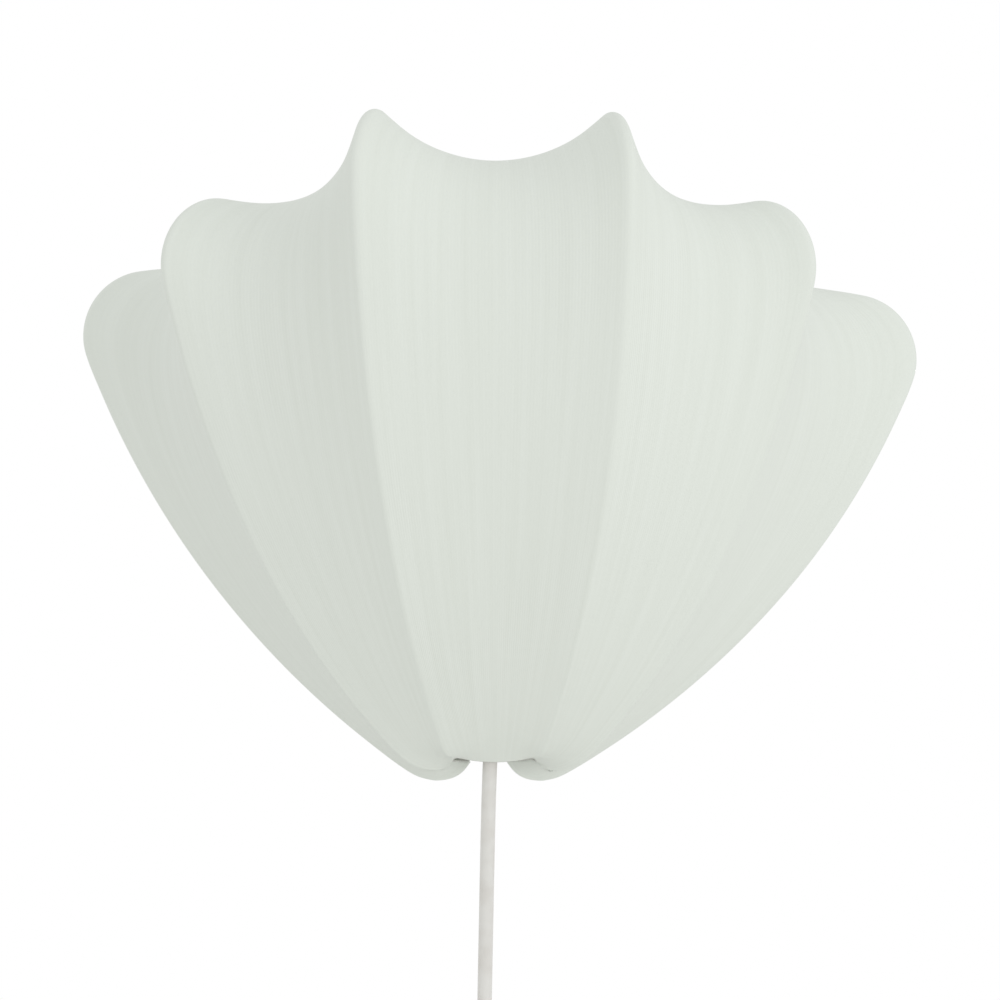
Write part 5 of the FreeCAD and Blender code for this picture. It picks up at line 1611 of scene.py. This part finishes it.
@dataclass
class Lamp:
    """Small round opal lamp with a rolled aluminium screw cap."""

    palette: Palette
    axis: tuple[float, float] = (0.0, -29.0)
    foot: float = -24.0
    tip_height: float = 2.0
    tip: float = 2.5
    cap: float = 6.95
    cap_foot: float = 3.5
    cap_length: float = 20.0
    globe: float = 22.5
    wall: float = 1.0
    length: float = 76.0
    pitch: float = 2.82
    thread: float = 0.55             # depth
    collar: float = 3.5              # plain stretches above and below the thread
    foot_taper: float = 3.0
    solder_corner: float = 0.6
    neck_gap: float = 0.1            # between the neck and the cap round it
    neck_plain: float = 1.2
    neck_height: float = 2.5
    join: float = -52.0              # degrees; where the neck's flow meets the round of the globe
    flow: float = 0.42               # handles of that flow, as a share of its length

    def build(self) -> None:
        """Make the contact, the cap and the glass."""
        self.contact()
        self.screw_cap()
        self.glass()

    def contact(self) -> None:
        """Domed bead of solder under the cap."""
        z, h, r = self.foot, self.tip_height, self.tip
        profile = [(0.0, z), (r * 0.7, z + 0.3), (r, z + h * 0.6), (r, z + h), (0.0, z + h)]
        bead = turned("lamp_solder", round_corners(profile, self.solder_corner, closed=False),
                      self.axis, segments=32, closed=False)
        finish_piece(bead, self.palette.solder, replaces=("lamp_contact",))

    def screw_cap(self) -> None:
        """Cap with its rolled thread between a plain collar and a tapered foot."""
        low = self.foot + self.tip_height
        high = low + self.cap_length
        body = [(self.cap, low + self.foot_taper), (self.cap, high)]
        profile = [(0.0, low), (self.cap_foot, low),
                   *Lampholder.fill_heights(body, low, high, step=0.3), (0.0, high)]
        thread = Lampholder.threaded(self.cap, low + self.foot_taper, high - self.collar,
                                     self.pitch, self.thread)
        cap = turned("lamp_screw_cap", profile, self.axis, segments=48, closed=False, shape=thread)
        finish_piece(cap, self.palette.aluminium, replaces=("lamp_cap",))

    def glass(self) -> None:
        """Globe that flows into its neck, as a hollow shell."""
        low = self.foot + self.tip_height + self.cap_length
        top, neck = self.foot + self.length, self.cap - self.neck_gap
        outer, inner = (lathe([(0.0, low + wall),
                               *self.outline(low + wall, top - wall, self.globe - wall, neck - wall),
                               (0.0, top - wall)], self.axis, 64, closed=False)
                        for wall in (0.0, self.wall))
        inside = inner[0], [face[::-1] for face in inner[1]]
        glass = mesh_from("lamp_globe", *joined([outer, inside]))
        finish_piece(glass, self.palette.opal, replaces=("lamp_glass",))

    def outline(self, low: float, top: float, radius: float,
                neck: float) -> list[tuple[float, float]]:
        """Side of the globe from its neck to its crown."""
        centre, join = top - radius, math.radians(self.join)
        start = np.array([neck, low + self.neck_height])
        end = np.array([radius * math.cos(join), centre + radius * math.sin(join)])
        slope = np.array([-math.sin(join), math.cos(join)])
        reach = np.linalg.norm(end - start) * self.flow
        a, b = start + np.array([0.0, reach]), end - slope * reach
        sides = [(neck, low), (neck, low + self.neck_plain)]
        for t in np.linspace(0.0, 1.0, 14):
            p = ((1 - t) ** 3 * start + 3 * t * (1 - t) ** 2 * a + 3 * t * t * (1 - t) * b
                 + t ** 3 * end)
            sides.append((float(p[0]), float(p[1])))
        return sides + [on_circle((0.0, centre), radius, angle)
                        for angle in np.linspace(join, math.pi / 2, 26)[1:-1]]


# ---------------------------------------------------------------- cord, switch and plug
@dataclass
class Cord:
    """Round two-core cord from the lampholder to the plug, its spare length coiled and tied."""

    palette: Palette
    diameter: float = 7.0
    exit: Point = (0.0, -29.0, -72.0)
    x: float = -4.8
    y: float = -20.0
    switch_top: float = -262.0
    switch_length: float = 62.0
    coil_radius: float = 42.0
    coil_drop: float = 66.0
    turns: int = 6
    points_per_turn: int = 24
    strand_gap: float = 7.1          # between neighbouring strands of the bundle
    spread: float = 3.0              # the strands are apart after one turn divided by this
    looseness: float = 0.35          # how far a strand strays from its place in the bundle
    stray_rate: float = 3.0          # radians of that straying in one turn
    stray_phase: float = 1.0
    tail: float = 56.0               # middle of the coil to the end of the cord
    tie_width: float = 12.0
    tie_thickness: float = 1.3
    tie_gap: float = 0.3             # between the bundle and the strap
    tie_corner: float = 0.5
    tie_drop: float = 0.2            # the strap's middle under the top of the coil's middle line
    tie_start: float = 0.9           # of half a turn
    tie_overlap: float = 1.1         # radians that the strap goes round twice
    tie_climb: float = 0.5           # radians before the overlap where it starts to climb
    tie_climb_rate: float = 2.2
    tie_end: float = 0.8             # share of the climb where the loose end lifts off
    tie_lift: float = 0.8
    tie_steps: int = 64

    @property
    def centre(self) -> np.ndarray:
        """Middle of the coil."""
        level = self.switch_top - self.switch_length - self.coil_drop
        return np.array([self.x - self.coil_radius, self.y, level])

    def route(self) -> list[Point]:
        """Points of the cord's line, from inside the gland to inside the plug's strain relief."""
        down = [(0.0, -29.0, -48.0), (0.0, -29.0, -84.0), (-1.4, -22.6, -108.0),
                (-2.9, -20.0, -142.0), (-3.9, -20.3, -200.0), (-4.8, -20.0, -253.0),
                (-4.8, -20.0, -300.0), (-4.8, -20.0, -360.0), (-4.8, -20.0, -380.0)]
        level = self.centre[2]
        end = [(self.x, self.y, level - drop) for drop in (10.0, 30.0, self.tail)]
        return down + self.coil() + end

    def coil(self) -> list[Point]:
        """Turns of the coil: six strands that run round each other as a loose bundle."""
        step = 2 * math.pi / self.points_per_turn
        # a line through points this far apart runs inside them by this share of the radius
        ring = self.coil_radius / (0.75 + 0.25 * math.cos(step))
        points, last = [], self.turns * self.points_per_turn
        for n in range(1, last):
            turn = n / self.points_per_turn
            ease = min(1.0, self.spread * turn, self.spread * (self.turns - turn))
            ease = ease * ease * (3 - 2 * ease)
            strand = 2 * math.pi * turn / self.turns
            loose = self.looseness * math.sin(self.stray_rate * turn + self.stray_phase)
            radial = ring + ease * (self.strand_gap * math.cos(strand) + loose)
            aside = ease * self.strand_gap * math.sin(strand)
            angle = -n * step
            points.append((self.centre[0] + radial * math.cos(angle), self.centre[1] + aside,
                           self.centre[2] + radial * math.sin(angle)))
        return points

    def build(self) -> bpy.types.Object:
        """Make the cord as one open spline.

        Returns:
            The cord.
        """
        data = bpy.data.curves.new("mains_cord", "CURVE")
        data.dimensions, data.resolution_u = "3D", 6
        data.bevel_depth, data.bevel_resolution = self.diameter / 2 * MM, 5
        data.use_fill_caps = True
        spline = data.splines.new("NURBS")
        route = self.route()
        spline.points.add(len(route) - 1)
        for place, point in zip(spline.points, route):
            place.co = (*(Vector(point) * MM), 1.0)
        spline.order_u = 3
        spline.use_endpoint_u = True
        spline.use_smooth = True
        cord = placed("mains_cord", data)
        return finish_piece(cord, self.palette.cord,
                            replaces=("cord_upper", "cord_lower", "cord_coil", "cord_tail"))

    def length(self, cord: bpy.types.Object) -> float:
        """Length of the cord's own line, in metres."""
        plain = cord.data.copy()
        plain.bevel_depth = 0.0
        probe = placed("cord_probe", plain)
        bpy.context.view_layer.update()
        mesh = bpy.data.meshes.new_from_object(
            probe.evaluated_get(bpy.context.evaluated_depsgraph_get()))
        places = np.array([v.co for v in mesh.vertices])
        bpy.data.objects.remove(probe)
        bpy.data.curves.remove(plain)
        bpy.data.meshes.remove(mesh)
        return float(np.linalg.norm(np.diff(places, axis=0), axis=1).sum())

    def tie(self) -> bpy.types.Object:
        """Hook-and-loop strap wound once and a bit round the top of the coil."""
        inner = 1.5 * self.strand_gap + self.tie_gap
        centre = self.centre + np.array([0.0, 0.0, self.coil_radius - self.tie_drop])
        wound, climb = 2 * math.pi + self.tie_overlap, 2 * math.pi - self.tie_climb
        path = []
        for k in range(self.tie_steps + 1):
            run = k / self.tie_steps * wound
            angle = math.pi * self.tie_start + run
            late = max(0.0, (run - climb) / (self.tie_overlap + self.tie_climb))
            lift = self.tie_lift * max(0.0, late - self.tie_end) / (1 - self.tie_end)
            over = min(1.0, self.tie_climb_rate * late) * self.tie_thickness
            r = inner + self.tie_thickness / 2 + over + lift
            path.append(centre + np.array([0.0, r * math.cos(angle), r * math.sin(angle)]))
        half, thick = self.tie_width / 2, self.tie_thickness / 2
        section = round_corners([(half, -thick), (half, thick), (-half, thick), (-half, -thick)],
                                self.tie_corner)
        strap = mesh_from("coil_strap", *sweep(np.array(path), section, (1.0, 0.0, 0.0)), sharp=50)
        return finish_piece(strap, self.palette.tie, replaces=("coil_tie",))


@dataclass
class Switch:
    """In-line rocker switch: two moulded halves, two screws and the rocker."""

    palette: Palette
    edge: float = 0.5
    screw_edge: float = 0.15
    rocker_edge: float = 0.35

    def build(self) -> list[bpy.types.Object]:
        """Make the switch.

        Returns:
            Its pieces.
        """
        plastic, zinc, rocker = self.palette.plastic, self.palette.zinc, self.palette.rocker
        return [ease_node("switch_front", self.edge, plastic),
                ease_node("switch_back", self.edge, plastic),
                ease_node("switch_screws", self.screw_edge, zinc),
                ease_node("switch_rocker", self.rocker_edge, rocker, Body.ROCKER)]


@dataclass
class Plug:
    """Flat two-pin plug with a ribbed strain relief."""

    palette: Palette
    x: float = -4.8
    y: float = -20.0
    top: float = -438.0
    relief: float = 22.0
    relief_end: float = 4.8
    relief_root: float = 6.5
    bore: float = 3.6
    relief_rings: BendingRings = BendingRings(7, 1.5, 2.5, -0.1, 0.85, (0.55, 0.65, 0.9))
    relief_tip: float = 1.0          # height of the plain tip
    tip_taper: float = 0.5
    soft_corner: float = 0.25
    body: float = 34.0
    width: float = 35.0
    depth: float = 13.6
    neck: float = 17.0
    shoulder: float = 15.3
    pin_spacing: float = 18.6
    pin: float = 2.0
    pin_length: float = 19.0
    pin_root: float = 10.0
    pin_sleeve: float = 0.1          # the sleeve's radius under the pin's
    pin_inset: float = 0.5           # how far the sleeve goes into the body
    pin_corner: float = 0.3

    def build(self) -> list[bpy.types.Object]:
        """Make the plug.

        Returns:
            Its pieces.
        """
        return [self.strain_relief(), self.housing(), *self.pins()]

    def strain_relief(self) -> bpy.types.Object:
        """Tapered relief with slots all round, so that it bends evenly."""
        low, high = self.top - self.relief, self.top
        profile = [(self.bore, low), (self.relief_root, low),
                   *self.relief_rings.profile(low, high, self.relief_root, self.relief_end),
                   (self.relief_end, high - self.relief_tip),
                   (self.relief_end - self.tip_taper, high), (self.bore, high)]
        relief = turned("plug_strain_relief", round_corners(profile, self.soft_corner),
                        (self.x, self.y), segments=40)
        return finish_piece(relief, self.palette.rubber, replaces=("plug_boot",))

    def housing(self) -> bpy.types.Object:
        """Flat body that widens from the strain relief, with a waist to grip."""
        high, face = self.top - self.relief, self.top - self.relief - self.body
        wide = high - self.shoulder
        # height, half width, half depth and how square the section is
        sections = [(high, self.neck / 2 - 1.2, self.depth / 2 - 1.2, 2.6),
                    (high - 0.7, self.neck / 2, self.depth / 2 - 0.4, 2.8),
                    (high - 5.0, self.neck / 2 + 2.6, self.depth / 2 - 0.2, 3.0),
                    (high - 10.0, self.width / 2 - 3.4, self.depth / 2, 3.4),
                    (wide, self.width / 2 - 0.4, self.depth / 2, 3.8),
                    (wide - 2.0, self.width / 2, self.depth / 2, 4.0),
                    (wide - 8.0, self.width / 2 - 0.5, self.depth / 2 - 0.3, 4.0),
                    (face + 3.5, self.width / 2, self.depth / 2, 4.2),
                    (face + 0.8, self.width / 2 - 0.1, self.depth / 2 - 0.1, 4.4),
                    (face, self.width / 2 - 1.0, self.depth / 2 - 1.0, 4.4)]
        count, verts, faces = 48, [], []
        for z, a, b, power in sections:
            for k in range(count):
                angle = 2 * math.pi * k / count
                c, s = math.cos(angle), math.sin(angle)
                verts.append((self.x + a * math.copysign(abs(c) ** (2 / power), c),
                              self.y + b * math.copysign(abs(s) ** (2 / power), s), z))
        for j in range(len(sections) - 1):
            for k in range(count):
                n = (k + 1) % count
                faces.append(((j + 1) * count + k, (j + 1) * count + n, j * count + n,
                              j * count + k))
        last = (len(sections) - 1) * count
        faces += [tuple(range(count)), tuple(range(last + count - 1, last - 1, -1))]
        body = mesh_from("plug_housing", np.array(verts), faces, sharp=40)
        return finish_piece(body, self.palette.plastic, replaces=("plug_body",))

    def pins(self) -> list[bpy.types.Object]:
        """Pins with an insulated root and a rounded metal tip."""
        face = self.top - self.relief - self.body
        root, tip = face - self.pin_root, face - self.pin_length
        narrow, sleeves, tips = self.pin - self.pin_sleeve, [], []
        for side in (-1, 1):
            centre = (self.x + side * self.pin_spacing / 2, self.y)
            sleeve = [(0.0, root), (self.pin - 0.3, root), (narrow, root + 0.3),
                      (narrow, face + self.pin_inset), (0.0, face + self.pin_inset)]
            metal = [(0.0, tip), (self.pin * 0.45, tip + 0.05), (self.pin * 0.82, tip + 0.6),
                     (self.pin, tip + 1.6), (self.pin, root), (0.0, root)]
            for shells, profile in ((sleeves, sleeve), (tips, metal)):
                eased = round_corners(profile, self.pin_corner, closed=False)
                shells.append(lathe(eased, centre, 28, closed=False))
        insulated = mesh_from("plug_pin_sleeves", *joined(sleeves))
        metal = mesh_from("plug_pin_tips", *joined(tips))
        return [finish_piece(insulated, self.palette.plastic,
                             replaces=("plug_pins",)),
                finish_piece(metal, self.palette.nickel, replaces=("plug_pins",))]


# ---------------------------------------------------------------- assembly
def main() -> None:
    """Build the lamp piece by piece, camera and cord first."""
    logging.basicConfig(level=logging.INFO, format="%(message)s")
    studio = Studio()
    studio.camera()
    palette = Palette.mixed()
    lead = Cord(palette)
    cord = lead.build()
    carried = [lead.tie(), *Switch(palette).build(), *Plug(palette).build()]
    length = lead.length(cord)
    LOG.info("cord: %.3f m", length)
    WireFrame(palette).build()
    Cover(palette).build()
    Lampholder(palette).build()
    Lamp(palette).build()
    studio.key_light()
    studio.sky()
    studio.floor()


if __name__ == "__main__":
    main()
